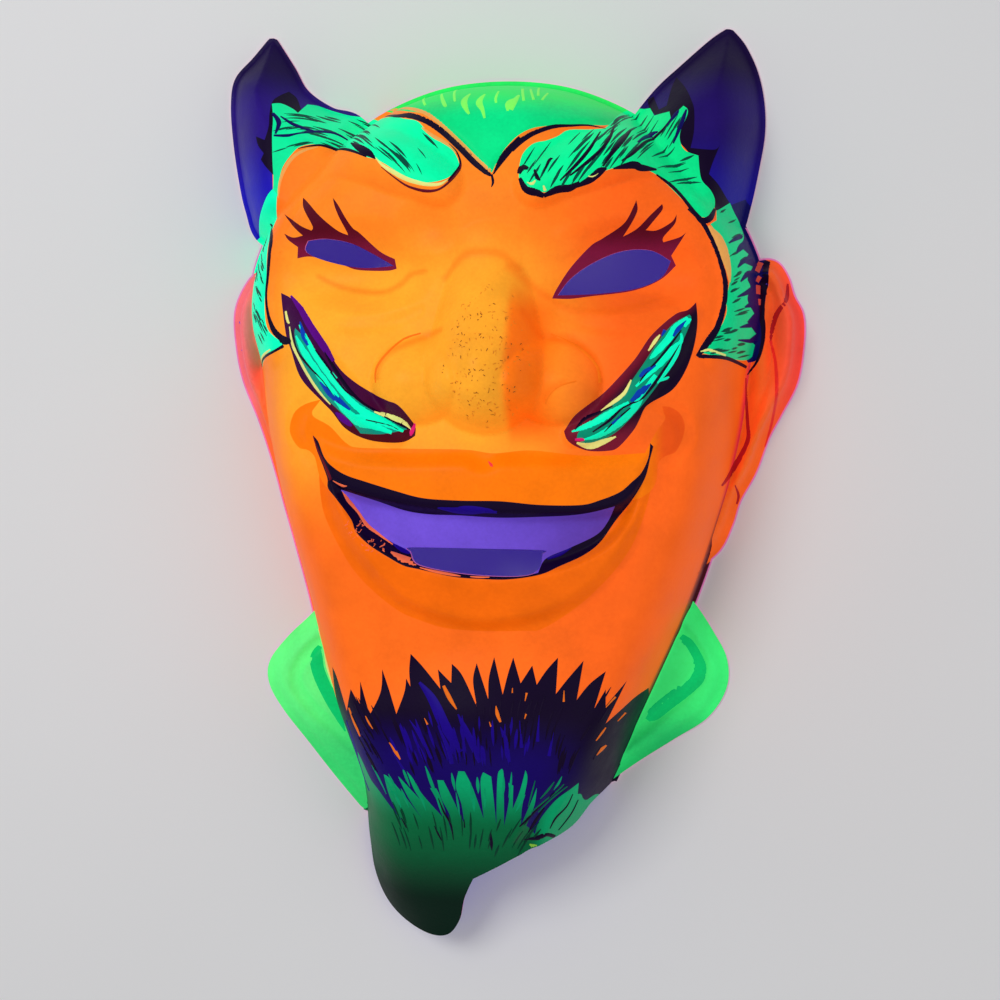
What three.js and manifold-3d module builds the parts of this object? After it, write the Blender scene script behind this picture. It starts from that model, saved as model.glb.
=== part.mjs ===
// A devil mask, vacuum-formed from one sheet of thin plastic: face, hair, horns, ears, beard and
// shirt collar are all pressed in the same sheet, and the eye holes and the mouth slot are cut out.
// Millimetres. It lies on its rim, face up: +Z is the way the face looks, +Y runs to the horns and
// +X is the viewer's right. The origin is on the surface it lies on, under the middle of its outline.
import * as THREE from "three";
import { mergeVertices } from "three/addons/utils/BufferGeometryUtils.js";
import Module from "manifold-3d";

const SHEET = 0.8; // thickness of the plastic
const FLANGE = 1.4; // flat lip left around the formed shapes
const WALL = 28; // distance over which the head rises from its foot to its front
const WALL_POWER = 4; // how much of that rise is in the steep side next to the foot
const CHEEK_CURVE = 0.0026; // how the front falls away sideways, z = -CHEEK_CURVE x^2
const ARCH_FADE = 3; // how soon the mesh rows straighten below the crown
const CURVE_STEP = 4; // spacing of the points taken along the edge of a cut
const CUT_LOW = -10; // the solids that are joined and cut reach from here to above the nose
const CUT_HIGH = 110;
const CUT_WIDTH = 400;
const PLASTIC = { color: 0xff6a14, roughness: 0.45, metalness: 0 };

const mirror = (points) => points.map(([x, y, ...rest]) => [-x, y, ...rest]);
const shift = (points, dx, dy) => points.map(([x, y, ...rest]) => [x + dx, y + dy, ...rest]);
const clamp01 = (t) => Math.min(1, Math.max(0, t));
const ease = (t) => clamp01(t) ** 2 * (3 - 2 * clamp01(t));

// The front of the head along its middle, as [y, z], before the features are added.
const FRONT = [
  [-160, 12], [-135, 22], [-120, 31], [-104, 40], [-88, 47], [-72, 50], [-58, 49], [-45, 50], [-25, 53], [0, 54],
  [20, 54], [50, 52], [70, 50], [84, 52], [98, 52], [112, 47], [138, 40], [160, 36],
];

// Mesh steps over the head as [length, step], from side to side and down its sides.
const SIDE_STEPS = [[3, 3], [8, 4], [12, 6], [5, 5]];
const HEAD_COLUMNS = [...SIDE_STEPS, [112, 4.9], ...[...SIDE_STEPS].reverse()];
const HEAD_ROWS = [[3, 3], [9, 4.5], [12, 6], [76, 5.4], [70, 4.4], [20, 6.7], [96, 12]];
// The smaller shapes' rows are one step apart, and their columns are shares of the way across.
const SMALL_STEP = 8.4;
const HORN_COLUMNS = [0, 0.16, 0.36, 0.64, 0.84, 1];
const RIGHT_COLUMNS = [0, 0.25, 0.5, 0.7, 0.85, 1];
const LEFT_COLUMNS = [0, 0.15, 0.3, 0.5, 0.75, 1];

// The foot of each formed shape, as the left and right sides seen from the front, top to bottom, and
// for the head its top too. Each lower end is hidden or cut off, and so is the side named hidden.
const CROWN = [
  [-64, 108], [-52, 120], [-38, 129], [-20, 135.5], [0, 137.5], [20, 135.5], [38, 129], [52, 120], [64, 108],
];
const TEMPLE_TO_JAW = [
  [64, 108], [75, 97], [83, 83], [87, 69], [87, 56], [83.6, 42], [81.4, 24], [77.2, 3], [71.6, -17],
];
const HEAD = {
  top: CROWN,
  right: [
    ...TEMPLE_TO_JAW, [66, -34], [60.6, -47.6], [55, -60.6], [47.4, -78], [40, -96], [33, -110], [26, -122],
    [18, -136], [8, -158],
  ],
  left: [
    ...mirror(TEMPLE_TO_JAW), [-66.6, -35], [-62, -54], [-57, -72], [-52, -86], [-48.6, -96], [-46.6, -108],
    [-46.4, -120], [-45, -132], [-41, -145], [-34, -158],
  ],
};
const HORN_RIGHT = {
  left: [[73.6, 154], [68.6, 150.6], [59.4, 142.6], [50.6, 134.4], [40, 121]],
  right: [
    [74.6, 153.8], [78.6, 149], [82.6, 140.6], [84.8, 131], [85.2, 121], [83.6, 110], [81, 97], [78, 88], [70, 80],
  ],
};
const HORN_LEFT = {
  left: [
    [-80.6, 152.8], [-86, 146.6], [-92, 140], [-93.4, 132], [-92.8, 121], [-91, 108], [-88.4, 96], [-84, 86],
    [-70, 80],
  ],
  right: [[-79.6, 152.6], [-73.6, 143.4], [-68.8, 135.4], [-60, 129.4], [-50, 126], [-38, 112]],
};
const EAR_RIGHT = {
  hidden: "left",
  left: [[66, 73], [66, 30], [58, -22]],
  right: [
    [76, 74], [85, 78], [90.6, 78], [94.2, 73.4], [96.4, 67], [99.4, 61], [99.8, 52], [98, 39], [93, 28.4],
    [88.8, 20], [84.8, 8.6], [79.8, -1], [77.4, -9], [73.6, -17.4], [67, -23.6],
  ],
};
const EAR_LEFT = {
  hidden: "right",
  left: [
    [-76, 70], [-84.5, 73.6], [-89, 69.6], [-92.4, 61], [-92, 50], [-89.6, 38], [-84, 24], [-79.6, 11],
    [-75.4, -3], [-71, -15], [-64, -24],
  ],
  right: [[-66, 69], [-66, 30], [-56, -20]],
};
const COLLAR_RIGHT = {
  hidden: "left",
  left: [[52, -32], [48, -60], [34, -92]],
  right: [
    [59, -32.6], [64.6, -37], [71.4, -47], [75.8, -55.6], [75.8, -65], [70, -74.6], [59, -82.2], [47.4, -90],
    [37.4, -97.4],
  ],
};
const COLLAR_LEFT = {
  hidden: "right",
  left: [
    [-60, -38], [-66, -44.6], [-74, -52.4], [-80, -60.6], [-80, -68], [-75, -76.6], [-66.6, -87], [-56.4, -99.6],
    [-47.4, -110],
  ],
  right: [[-52, -36], [-48, -60], [-40, -104]],
};

// What is cut out of the formed sheet, each as smooth stretches that meet in corners.
const EYE_RIGHT = [
  [[21.6, 65], [25.4, 70.4], [32, 75.4], [41, 79.2], [50, 79.6], [56.4, 76.4]],
  [[56.4, 76.4], [53.6, 71.4], [46, 67.8], [34, 65.8], [21.6, 65]],
];
const EYE_LEFT = [
  [[-31, 74.4], [-37.4, 78], [-45, 81.6], [-53, 83], [-59, 82.4]],
  [[-59, 82.4], [-60, 79], [-53, 76], [-42, 74], [-31, 74.4]],
];
const SLOT = [
  [[-24, -15.5], [-22, -14.2], [16, -14.2], [18, -15.5]],
  [[18, -15.5], [15, -21.5], [-3, -22], [-20, -19.5], [-24, -15.5]],
];
const BEARD_SNIP = [
  [[39.6, -98.6], [33, -101.6], [27, -108.6], [18, -113], [10, -117], [2, -122], [-6, -127]],
  [
    [-6, -127], [-9.4, -135], [-11.6, -144], [-16, -150.4], [-23, -151], [-32, -146.6], [-38.6, -140],
    [-42.6, -131], [-44, -120], [-46, -112],
  ],
  [[-46, -112], [-56, -112], [-64, -130], [-60, -175], [60, -175], [62, -120], [50, -102], [39.6, -98.6]],
];

// Areas of the face that are stepped up or down, as smooth stretches.
const CAP = [
  [[0, 101], [7, 110], [15, 116], [28, 118.5], [42, 122], [58, 130]],
  [[58, 130], [40, 142], [0, 150], [-40, 142], [-58, 130]],
  [[-58, 130], [-44, 127], [-30, 123], [-20, 119.5], [-9, 111], [0, 101]],
];
const LIPS = [
  [[-56, 22], [-44, 17.5], [-26, 16.5], [-6, 17], [0, 15], [6, 17], [28, 17], [46, 18.5], [54, 22]],
  [[54, 22], [52, 6], [45, -17], [27, -34], [0, -41], [-27, -34], [-46, -14], [-54, 6], [-56, 22]],
];
const MOUTH = [
  [[-51, 9], [-40, 4], [-21, 0.5], [0, -1], [22, -1], [40, 1], [50, 10]],
  [[50, 10], [47, -4], [37, -15], [20, -22], [0, -23.5], [-20, -21], [-37, -13], [-47, -1], [-51, 9]],
];

// Ridges follow a path of [x, y, half width, height], and grooves have a negative height.
const BROW = [
  [15, 99, 7.5, 5], [26, 104.5, 9.5, 7], [39, 109.5, 10, 8], [52, 112, 10, 8], [63, 107, 9.5, 8], [71, 95, 8, 6],
  [76, 80, 7, 4], [78, 62, 7, 3], [74, 47, 7, 3],
];
const MOUSTACHE = [[64, 60, 3, 1.5], [56, 47, 5.5, 3.5], [46, 35.5, 6, 4], [36, 26, 5.5, 4], [28, 22, 4.5, 3]];
const NOSE = [[0, 77, 11, 3], [0, 66, 14, 10], [0, 56, 16.5, 17], [0, 47, 18.5, 21], [0, 39.5, 18, 20]];
const DIMPLE = [[54, 32, 3, -0.8], [60, 28, 3.5, -1.6], [62, 21, 3.5, -1.6], [58, 14, 3, -0.8]];
const EYE_FOLD = [[22, 60, 2.5, -0.6], [32, 56.5, 3, -1.3], [46, 56, 3, -1.3], [60, 60, 2.5, -0.4]];
const BEARD_CREASE = [[23, -93, 3, -1], [17, -103, 3.5, -2.5], [12, -113, 4, -3]];
const HELIX = [
  [84, 74.6, 3.6, 3], [90, 74.6, 3.8, 4.6], [94, 67, 3.8, 6], [95.4, 56, 5, 7], [94.8, 44, 5, 7], [91, 31, 4.6, 6],
  [85.6, 15, 4.4, 5.4], [79.4, 1, 4.4, 4.8], [73.4, -13, 4.2, 4],
];
const ANTIHELIX = [[88, 65, 3, 1.6], [85.6, 54, 3.6, 3], [86.6, 40, 4, 3.8], [85, 24, 3.8, 3.6], [79, 6, 3.4, 2.4]];
const COLLAR_LINE = [
  [56, -42, 2.5, -1.2], [64, -48, 2.5, -1.4], [68.5, -57, 2.5, -1.4], [64, -66, 2.5, -1.4], [53, -76, 2.5, -1.4],
  [42, -86, 2.5, -1.2],
];
const LEFT_EAR_SHIFT = [7, -3]; // the left ear lies closer to the head than the right one
const LEFT_COLLAR_SHIFT = [-3, -8]; // the left collar sits lower than the right one

// Rounded swellings and hollows as [x, y, half width, half height, rise, roundness], the paired ones
// on the right. A roundness of 2 fades out softly, and one of 0.7 stands up like a ball.
const KNOBS = [
  [0, -66, 32, 22, 4, 1.5], // chin
  [0, 4, 60, 34, 3, 1.5], // muzzle
  [0, 39, 17, 14, 6, 1], // tip of the nose
];
const PAIRED_KNOBS = [
  [21.5, 38, 14.5, 13.5, 11, 0.8], // nostril wing
  [50, 38, 30, 28, 6, 1.5], // cheek
  [43, 73, 28, 17, -8, 1.5], // eye socket
  [41, 60, 20, 7, 1.6, 1], // bag under the eye
  [19, 86, 11, 9, -3, 1.5], // hollow beside the bridge of the nose
  [64, 2, 10, 26, 2, 1.5], // cheek beside the mouth
];

const HORN_HEIGHT = [[80, 33], [100, 30], [125, 22], [140, 16], [156, 9]]; // as [y, z]
const HORN_WALL = 17;
const HORN_POWER = 2;
const EAR_PLATE = 4;
const COLLAR_PLATE = 3.4;
const PLATE_EDGE = 4.5;
const CAP_STEP = 1.6;
const CAP_EDGE = 2.5;
const LIP_RISE = 4;
const LIP_EDGE = 6;
const TEETH_DROP = 7;
const TEETH_EDGE = 4.5;

const spline = (points) => new THREE.SplineCurve(points.map(([x, y]) => new THREE.Vector2(x, y)));

function resample(points) {
  const curve = spline(points);
  return curve.getSpacedPoints(Math.max(2, Math.ceil(curve.getLength() / CURVE_STEP)));
}

// The closed polygon of an outline made of stretches.
function polygon(stretches) {
  return stretches.flatMap((stretch) => resample(stretch).slice(0, -1));
}

// The part of a formed shape's foot that shows, as a run of points.
function footOf({ top, left, right, hidden }) {
  if (hidden === "right") return resample(left);
  if (hidden === "left") return resample(right);
  const over = top ?? [left[0], right[0]];
  return [[...left].reverse(), over, right].flatMap(resample);
}

// A smooth function through a table of [place, value].
function profile(table) {
  const curve = new THREE.CubicInterpolant(table.map(([place]) => place), table.map(([, value]) => value), 1);
  return (place) => curve.evaluate(place)[0];
}

// Distance from (x, y) to a run of points, and how far along the run the nearest place is.
function nearest(points, x, y, closed = false) {
  let best = Infinity;
  let along = 0;
  const count = closed ? points.length : points.length - 1;
  for (let i = 0; i < count; i++) {
    const a = points[i];
    const b = points[(i + 1) % points.length];
    const ux = b.x - a.x;
    const uy = b.y - a.y;
    const t = clamp01(((x - a.x) * ux + (y - a.y) * uy) / (ux * ux + uy * uy));
    const d = Math.hypot(a.x + t * ux - x, a.y + t * uy - y);
    if (d < best) {
      best = d;
      along = (i + t) / count;
    }
  }
  return [best, along];
}

function contains(points, x, y) {
  let inside = false;
  points.forEach((a, i) => {
    const b = points[(i + 1) % points.length];
    if (a.y > y !== b.y > y && x < ((b.x - a.x) * (y - a.y)) / (b.y - a.y) + a.x) inside = !inside;
  });
  return inside;
}

// How far (x, y) is inside a closed polygon, or 0 outside it.
const depthIn = (points, x, y) => (contains(points, x, y) ? nearest(points, x, y, true)[0] : 0);

// A ridge's path, and its half width and height along the path.
function ridge(path) {
  const last = path.length - 1;
  return {
    points: resample(path),
    widthAt: profile(path.map(([, , width], i) => [i / last, width])),
    heightAt: profile(path.map(([, , , height], i) => [i / last, height])),
  };
}

function ridgeHeight({ points, widthAt, heightAt }, x, y) {
  const [distance, along] = nearest(points, x, y);
  const share = distance / widthAt(along);
  return share < 1 ? heightAt(along) * (1 - share * share) : 0;
}

function knobHeight([cx, cy, rx, ry, rise, roundness], x, y) {
  const share = ((x - cx) / rx) ** 2 + ((y - cy) / ry) ** 2;
  return share < 1 ? rise * (1 - share) ** roundness : 0;
}

const frontAt = profile(FRONT);
const hornAt = profile(HORN_HEIGHT);
const climb = (depth, reach, power) => 1 - (1 - clamp01(depth / reach)) ** power;
const both = (path) => [ridge(path), ridge(mirror(path))];
const cap = polygon(CAP);
const lips = polygon(LIPS);
const mouth = polygon(MOUTH);
const faceRidges = [...[BROW, MOUSTACHE, DIMPLE, EYE_FOLD].flatMap(both), ridge(NOSE), ridge(BEARD_CREASE)];
const faceKnobs = [...KNOBS, ...PAIRED_KNOBS, ...mirror(PAIRED_KNOBS)];

// The height functions give the outer face over the flange, from (x, y) and the shape's foot.
function headHeight(foot, x, y) {
  let z = frontAt(y) - CHEEK_CURVE * x * x;
  z += CAP_STEP * ease(depthIn(cap, x, y) / CAP_EDGE);
  z += LIP_RISE * ease(depthIn(lips, x, y) / LIP_EDGE);
  z -= TEETH_DROP * ease(depthIn(mouth, x, y) / TEETH_EDGE);
  for (const one of faceRidges) z += ridgeHeight(one, x, y);
  for (const one of faceKnobs) z += knobHeight(one, x, y);
  return z * climb(nearest(foot, x, y)[0], WALL, WALL_POWER);
}

function hornHeight(foot, x, y) {
  return hornAt(y) * climb(nearest(foot, x, y)[0], HORN_WALL, HORN_POWER);
}

const plateHeight = (plate, ridges) => (foot, x, y) =>
  ease(nearest(foot, x, y)[0] / PLATE_EDGE) * ridges.reduce((z, one) => z + ridgeHeight(one, x, y), plate);

// Fractions from 0 to 1 along stretches of [length, step].
function stations(stretches) {
  const places = [0];
  for (const [length, step] of stretches) {
    const count = Math.max(1, Math.round(length / step));
    const from = places.at(-1);
    for (let i = 1; i <= count; i++) places.push(from + (length * i) / count);
  }
  return places.map((place) => place / places.at(-1));
}

// The grid of a formed shape, its rows running from its left side to its right side.
function gridOf({ top, left, right }, rows, columns) {
  const [from, to] = [spline(left), spline(right)];
  const arch = top ? spline(top) : null;
  return rows.map((down) => {
    const a = from.getPointAt(down);
    const b = to.getPointAt(down);
    return columns.map((across) => {
      const point = a.clone().lerp(b, across);
      if (!arch) return point;
      const chord = from.getPointAt(0).lerp(to.getPointAt(0), across);
      return point.add(arch.getPointAt(across).sub(chord).multiplyScalar((1 - down) ** ARCH_FADE));
    });
  });
}

// The places in a list of grid points that lie round its edge, counterclockwise.
function borderOf(count, width) {
  const rows = count / width;
  const round = [];
  for (let j = 0; j < rows; j++) round.push(j * width);
  for (let i = 1; i < width; i++) round.push((rows - 1) * width + i);
  for (let j = rows - 2; j >= 0; j--) round.push(j * width + width - 1);
  for (let i = width - 2; i > 0; i--) round.push(i);
  return round;
}

// Two triangles for each cell of the grid, split along its shorter diagonal.
function facets(points, width) {
  const triangles = [];
  for (let a = 0; a + width < points.length; a++) {
    if (a % width === width - 1) continue;
    const [b, c, d] = [a + 1, a + 1 + width, a + width];
    const split = points[a].distanceTo(points[c]) < points[b].distanceTo(points[d]);
    triangles.push(...(split ? [[a, c, b], [a, d, c]] : [[a, d, b], [b, d, c]]));
  }
  return triangles;
}

// The inner face: each point moves back so that every facet round it keeps the sheet's thickness.
function offsetInwards(outer, triangles) {
  const sums = outer.map(() => ({ normal: new THREE.Vector3(), spread: new Array(9).fill(0) }));
  for (const corners of triangles) {
    const [a, b, c] = corners.map((i) => outer[i]);
    const normal = b.clone().sub(a).cross(c.clone().sub(a)).normalize();
    const n = normal.toArray();
    for (const i of corners) {
      sums[i].normal.add(normal);
      for (let k = 0; k < 9; k++) sums[i].spread[k] += n[k % 3] * n[Math.floor(k / 3)];
    }
  }
  const STEADY = 0.15; // keeps the answer bounded where the facets all face one way
  return outer.map((point, i) => {
    const { normal, spread } = sums[i];
    for (const k of [0, 4, 8]) spread[k] += STEADY;
    const unit = normal.clone().normalize();
    const move = normal.addScaledVector(unit, STEADY).applyMatrix3(new THREE.Matrix3().fromArray(spread).invert());
    return point.clone().addScaledVector(move, -SHEET);
  });
}

function toManifold(wasm, vertProperties, triVerts) {
  return new wasm.Manifold(new wasm.Mesh({ numProp: 3, vertProperties, triVerts }));
}

// The solid under a gridded face, down to a level below the rim.
function solidUnder(wasm, points, triangles, width) {
  const lift = points.length;
  const floor = points.map((p) => new THREE.Vector3(p.x, p.y, CUT_LOW));
  const below = triangles.map(([a, b, c]) => [a + lift, c + lift, b + lift]);
  const border = borderOf(lift, width);
  const sides = border.flatMap((a, i) => {
    const b = border[(i + 1) % border.length];
    return [[a, a + lift, b + lift], [a, b + lift, b]];
  });
  const vertProperties = new Float32Array([...points, ...floor].flatMap((p) => [p.x, p.y, p.z]));
  return toManifold(wasm, vertProperties, new Uint32Array([...triangles, ...below, ...sides].flat()));
}

// A three.js geometry as a solid.
function solidOf(wasm, geometry) {
  geometry.deleteAttribute("normal");
  geometry.deleteAttribute("uv");
  const merged = mergeVertices(geometry);
  return toManifold(wasm, merged.getAttribute("position").array, merged.index.array);
}

// The prism of an outline, from below the rim to a height.
function prism(wasm, points, height) {
  const depth = height - CUT_LOW;
  const geometry = new THREE.ExtrudeGeometry(new THREE.Shape(points), { depth, bevelEnabled: false });
  return solidOf(wasm, geometry.translate(0, 0, CUT_LOW));
}

// A counterclockwise outline moved outwards by the width of the flange.
function withFlange(points) {
  return points.map((point, i) => {
    const before = points[(i + points.length - 1) % points.length];
    const after = points[(i + 1) % points.length];
    const along = after.clone().sub(before).normalize();
    return new THREE.Vector2(point.x + along.y * FLANGE, point.y - along.x * FLANGE);
  });
}

// One formed shape: what is under its outer face and on its flange, and what is under its inner face.
function formed(wasm, shape, heightOf, rows, columns) {
  const foot = footOf(shape);
  const grid = gridOf(shape, rows, columns).flat();
  const outer = grid.map(({ x, y }) => new THREE.Vector3(x, y, SHEET + heightOf(foot, x, y)));
  const triangles = facets(outer, columns.length);
  const inner = offsetInwards(outer, triangles);
  const border = borderOf(grid.length, columns.length).map((i) => grid[i]);
  return {
    filled: solidUnder(wasm, outer, triangles, columns.length).add(prism(wasm, withFlange(border), SHEET)),
    hollow: solidUnder(wasm, inner, triangles, columns.length),
  };
}

function formedShapes(wasm) {
  const rowsOf = (shape) => stations([[spline(shape.right).getLength(), SMALL_STEP]]);
  const small = (shape, heightOf, columns) => formed(wasm, shape, heightOf, rowsOf(shape), columns);
  const ear = [HELIX, ANTIHELIX];
  const leftEar = ear.map((path) => shift(mirror(path), ...LEFT_EAR_SHIFT));
  const leftCollarLine = shift(mirror(COLLAR_LINE), ...LEFT_COLLAR_SHIFT);
  return [
    formed(wasm, HEAD, headHeight, stations(HEAD_ROWS), stations(HEAD_COLUMNS)),
    small(HORN_RIGHT, hornHeight, HORN_COLUMNS),
    small(HORN_LEFT, hornHeight, HORN_COLUMNS),
    small(EAR_RIGHT, plateHeight(EAR_PLATE, ear.map(ridge)), RIGHT_COLUMNS),
    small(EAR_LEFT, plateHeight(EAR_PLATE, leftEar.map(ridge)), LEFT_COLUMNS),
    small(COLLAR_RIGHT, plateHeight(COLLAR_PLATE, [ridge(COLLAR_LINE)]), RIGHT_COLUMNS),
    small(COLLAR_LEFT, plateHeight(COLLAR_PLATE, [ridge(leftCollarLine)]), LEFT_COLUMNS),
  ];
}

// The sheet is what lies between all the outer faces and all the inner ones, trimmed and cut out.
function trimmedSheet(wasm) {
  const shapes = formedShapes(wasm);
  const filled = shapes.map((shape) => shape.filled).reduce((sum, one) => sum.add(one));
  const hollow = shapes.map((shape) => shape.hollow).reduce((sum, one) => sum.add(one));
  const ground = new THREE.BoxGeometry(CUT_WIDTH, CUT_WIDTH, -2 * CUT_LOW).translate(0, 0, CUT_LOW);
  const cuts = [EYE_RIGHT, EYE_LEFT, SLOT, BEARD_SNIP].map((cut) => prism(wasm, polygon(cut), CUT_HIGH));
  return [hollow, solidOf(wasm, ground), ...cuts].reduce((sheet, cut) => sheet.subtract(cut), filled);
}

function makeMask(wasm) {
  const { vertProperties, triVerts } = trimmedSheet(wasm).getMesh();
  const geometry = new THREE.BufferGeometry();
  geometry.setAttribute("position", new THREE.BufferAttribute(vertProperties, 3));
  geometry.setIndex(new THREE.BufferAttribute(triVerts, 1));
  geometry.computeVertexNormals();
  const mesh = new THREE.Mesh(geometry, new THREE.MeshStandardMaterial(PLASTIC));
  mesh.name = "mask";
  geometry.computeBoundingBox();
  const middle = geometry.boundingBox.getCenter(new THREE.Vector3());
  mesh.position.set(-middle.x, -middle.y, -geometry.boundingBox.min.z);
  return mesh;
}

const wasm = await Module();
wasm.setup();
const mask = new THREE.Group();
mask.add(makeMask(wasm));
export default mask;
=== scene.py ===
"""A devil mask of thin formed plastic with fluorescent paint, lying face up on its rim.

The sheet is a height over the floor, so it is worked out at each (x, y) and meshed finely. Paint areas are
colours on its faces, with their borders cut into the mesh, and brush strokes are laid over them.
Tables are in millimetres, +X to the viewer's right and +Y to the horns; meshes are in metres.
"""
import math

import bpy
import numpy as np
from mathutils import Matrix, Vector
from mathutils.geometry import delaunay_2d_cdt


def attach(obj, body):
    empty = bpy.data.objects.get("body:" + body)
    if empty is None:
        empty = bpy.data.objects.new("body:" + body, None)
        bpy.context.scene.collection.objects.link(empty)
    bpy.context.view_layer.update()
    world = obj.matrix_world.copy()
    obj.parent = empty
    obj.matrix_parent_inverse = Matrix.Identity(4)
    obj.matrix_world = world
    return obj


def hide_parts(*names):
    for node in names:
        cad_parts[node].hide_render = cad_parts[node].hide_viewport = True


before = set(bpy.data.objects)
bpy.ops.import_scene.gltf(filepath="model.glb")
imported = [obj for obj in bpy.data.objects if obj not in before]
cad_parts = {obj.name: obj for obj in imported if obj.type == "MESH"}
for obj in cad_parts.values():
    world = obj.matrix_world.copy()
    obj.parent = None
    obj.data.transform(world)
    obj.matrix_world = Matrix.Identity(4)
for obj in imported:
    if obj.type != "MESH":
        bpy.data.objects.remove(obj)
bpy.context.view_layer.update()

bl_info = {
    "name": "Painted devil mask",
    "version": (1, 0, 0),
    "blender": (4, 5, 0),
    "location": "View3D > Sidebar > Devil mask",
    "description": "Builds a formed plastic devil mask with its painted areas and brush strokes",
    "category": "Object",
}

MM = 0.001
TO_FRAME = (-3.24934, -2.00499)  # from the tables' origin to the frame's

# Relief of the formed sheet
FLANGE = 1.4
WALL = 28
WALL_POWER = 4
CHEEK_CURVE = 0.0026
HORN_WALL = 17
HORN_POWER = 2
EAR_PLATE = 4
COLLAR_PLATE = 3.4
PLATE_EDGE = 4.5
CAP_STEP = 1.6
CAP_EDGE = 2.5
LIP_RISE = 4
LIP_EDGE = 6
TEETH_DROP = 7
TEETH_EDGE = 4.5
HORN_SINK = 6  # over this reach a horn sinks away at its hidden end
CREASE_ROUND = 1.6  # how softly two formed shapes run into each other

FRONT = [
    (-160, 12), (-135, 22), (-120, 31), (-104, 40), (-88, 47), (-72, 50), (-58, 49), (-45, 50), (-25, 53),
    (0, 54), (20, 54), (50, 52), (70, 50), (84, 52), (98, 52), (112, 47), (138, 40), (160, 36),
]
HORN_HEIGHT = [(80, 33), (100, 30), (125, 22), (140, 16), (156, 9)]
CROWN = [
    (-64, 108), (-52, 120), (-38, 129), (-20, 135.5), (0, 137.5), (20, 135.5), (38, 129), (52, 120),
    (64, 108),
]
TEMPLE_TO_JAW = [
    (64, 108), (75, 97), (83, 83), (87, 69), (87, 56), (83.6, 42), (81.4, 24), (77.2, 3), (71.6, -17),
]
RIGHT_OF_BEARD = [
    (66, -34), (60.6, -47.6), (55, -60.6), (47.4, -78), (40, -96), (33, -110), (26, -122), (18, -136),
    (8, -158),
]
LEFT_OF_BEARD = [
    (-66.6, -35), (-62, -54), (-57, -72), (-52, -86), (-48.6, -96), (-46.6, -108), (-46.4, -120),
    (-45, -132), (-41, -145), (-34, -158),
]


def mirror(points):
    """Points on the other side of the face."""
    return [(-p[0], *p[1:]) for p in points]


def shift(points, dx, dy):
    """Points moved over the plan."""
    return [(p[0] + dx, p[1] + dy, *p[2:]) for p in points]


HEAD = {
    "top": CROWN,
    "right": TEMPLE_TO_JAW + RIGHT_OF_BEARD,
    "left": mirror(TEMPLE_TO_JAW) + LEFT_OF_BEARD,
}
HORN_RIGHT = {
    "left": [(73.6, 154), (68.6, 150.6), (59.4, 142.6), (50.6, 134.4), (40, 121)],
    "right": [
        (74.6, 153.8), (78.6, 149), (82.6, 140.6), (84.8, 131), (85.2, 121), (83.6, 110), (81, 97),
        (78, 88), (70, 80),
    ],
}
HORN_LEFT = {
    "left": [
        (-80.6, 152.8), (-86, 146.6), (-92, 140), (-93.4, 132), (-92.8, 121), (-91, 108), (-88.4, 96),
        (-84, 86), (-70, 80),
    ],
    "right": [(-79.6, 152.6), (-73.6, 143.4), (-68.8, 135.4), (-60, 129.4), (-50, 126), (-38, 112)],
}
EAR_RIGHT = {
    "hidden": "left",
    "left": [(66, 73), (66, 30), (58, -22)],
    "right": [
        (76, 74), (85, 78), (90.6, 78), (94.2, 73.4), (96.4, 67), (99.4, 61), (99.8, 52), (98, 39),
        (93, 28.4), (88.8, 20), (84.8, 8.6), (79.8, -1), (77.4, -9), (73.6, -17.4), (67, -23.6),
    ],
}
EAR_LEFT = {
    "hidden": "right",
    "left": [
        (-76, 70), (-84.5, 73.6), (-89, 69.6), (-92.4, 61), (-92, 50), (-89.6, 38), (-84, 24), (-79.6, 11),
        (-75.4, -3), (-71, -15), (-64, -24),
    ],
    "right": [(-66, 69), (-66, 30), (-56, -20)],
}
COLLAR_RIGHT = {
    "hidden": "left",
    "left": [(52, -32), (48, -60), (34, -92)],
    "right": [
        (59, -32.6), (64.6, -37), (71.4, -47), (75.8, -55.6), (75.8, -65), (70, -74.6), (59, -82.2),
        (47.4, -90), (37.4, -97.4),
    ],
}
COLLAR_LEFT = {
    "hidden": "right",
    "left": [
        (-60, -38), (-66, -44.6), (-74, -52.4), (-80, -60.6), (-80, -68), (-75, -76.6), (-66.6, -87),
        (-56.4, -99.6), (-47.4, -110),
    ],
    "right": [(-52, -36), (-48, -60), (-40, -104)],
}

# Openings and the free end of the beard, as smooth stretches that meet in corners
EYE_RIGHT = [
    [(21.6, 65), (25.4, 70.4), (32, 75.4), (41, 79.2), (50, 79.6), (56.4, 76.4)],
    [(56.4, 76.4), (53.6, 71.4), (46, 67.8), (34, 65.8), (21.6, 65)],
]
EYE_LEFT = [
    [(-31, 74.4), (-37.4, 78), (-45, 81.6), (-53, 83), (-59, 82.4)],
    [(-59, 82.4), (-60, 79), (-53, 76), (-42, 74), (-31, 74.4)],
]
SLOT = [
    [(-24, -15.5), (-22, -14.2), (16, -14.2), (18, -15.5)],
    [(18, -15.5), (15, -21.5), (-3, -22), (-20, -19.5), (-24, -15.5)],
]
BEARD_SNIP = [
    [(39.6, -98.6), (33, -101.6), (27, -108.6), (18, -113), (10, -117), (2, -122), (-6, -127)],
    [
        (-6, -127), (-9.4, -135), (-11.6, -144), (-16, -150.4), (-23, -151), (-32, -146.6), (-38.6, -140),
        (-42.6, -131), (-44, -120), (-46, -112),
    ],
    [(-46, -112), (-56, -112), (-64, -130), (-60, -175), (60, -175), (62, -120), (50, -102), (39.6, -98.6)],
]

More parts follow.
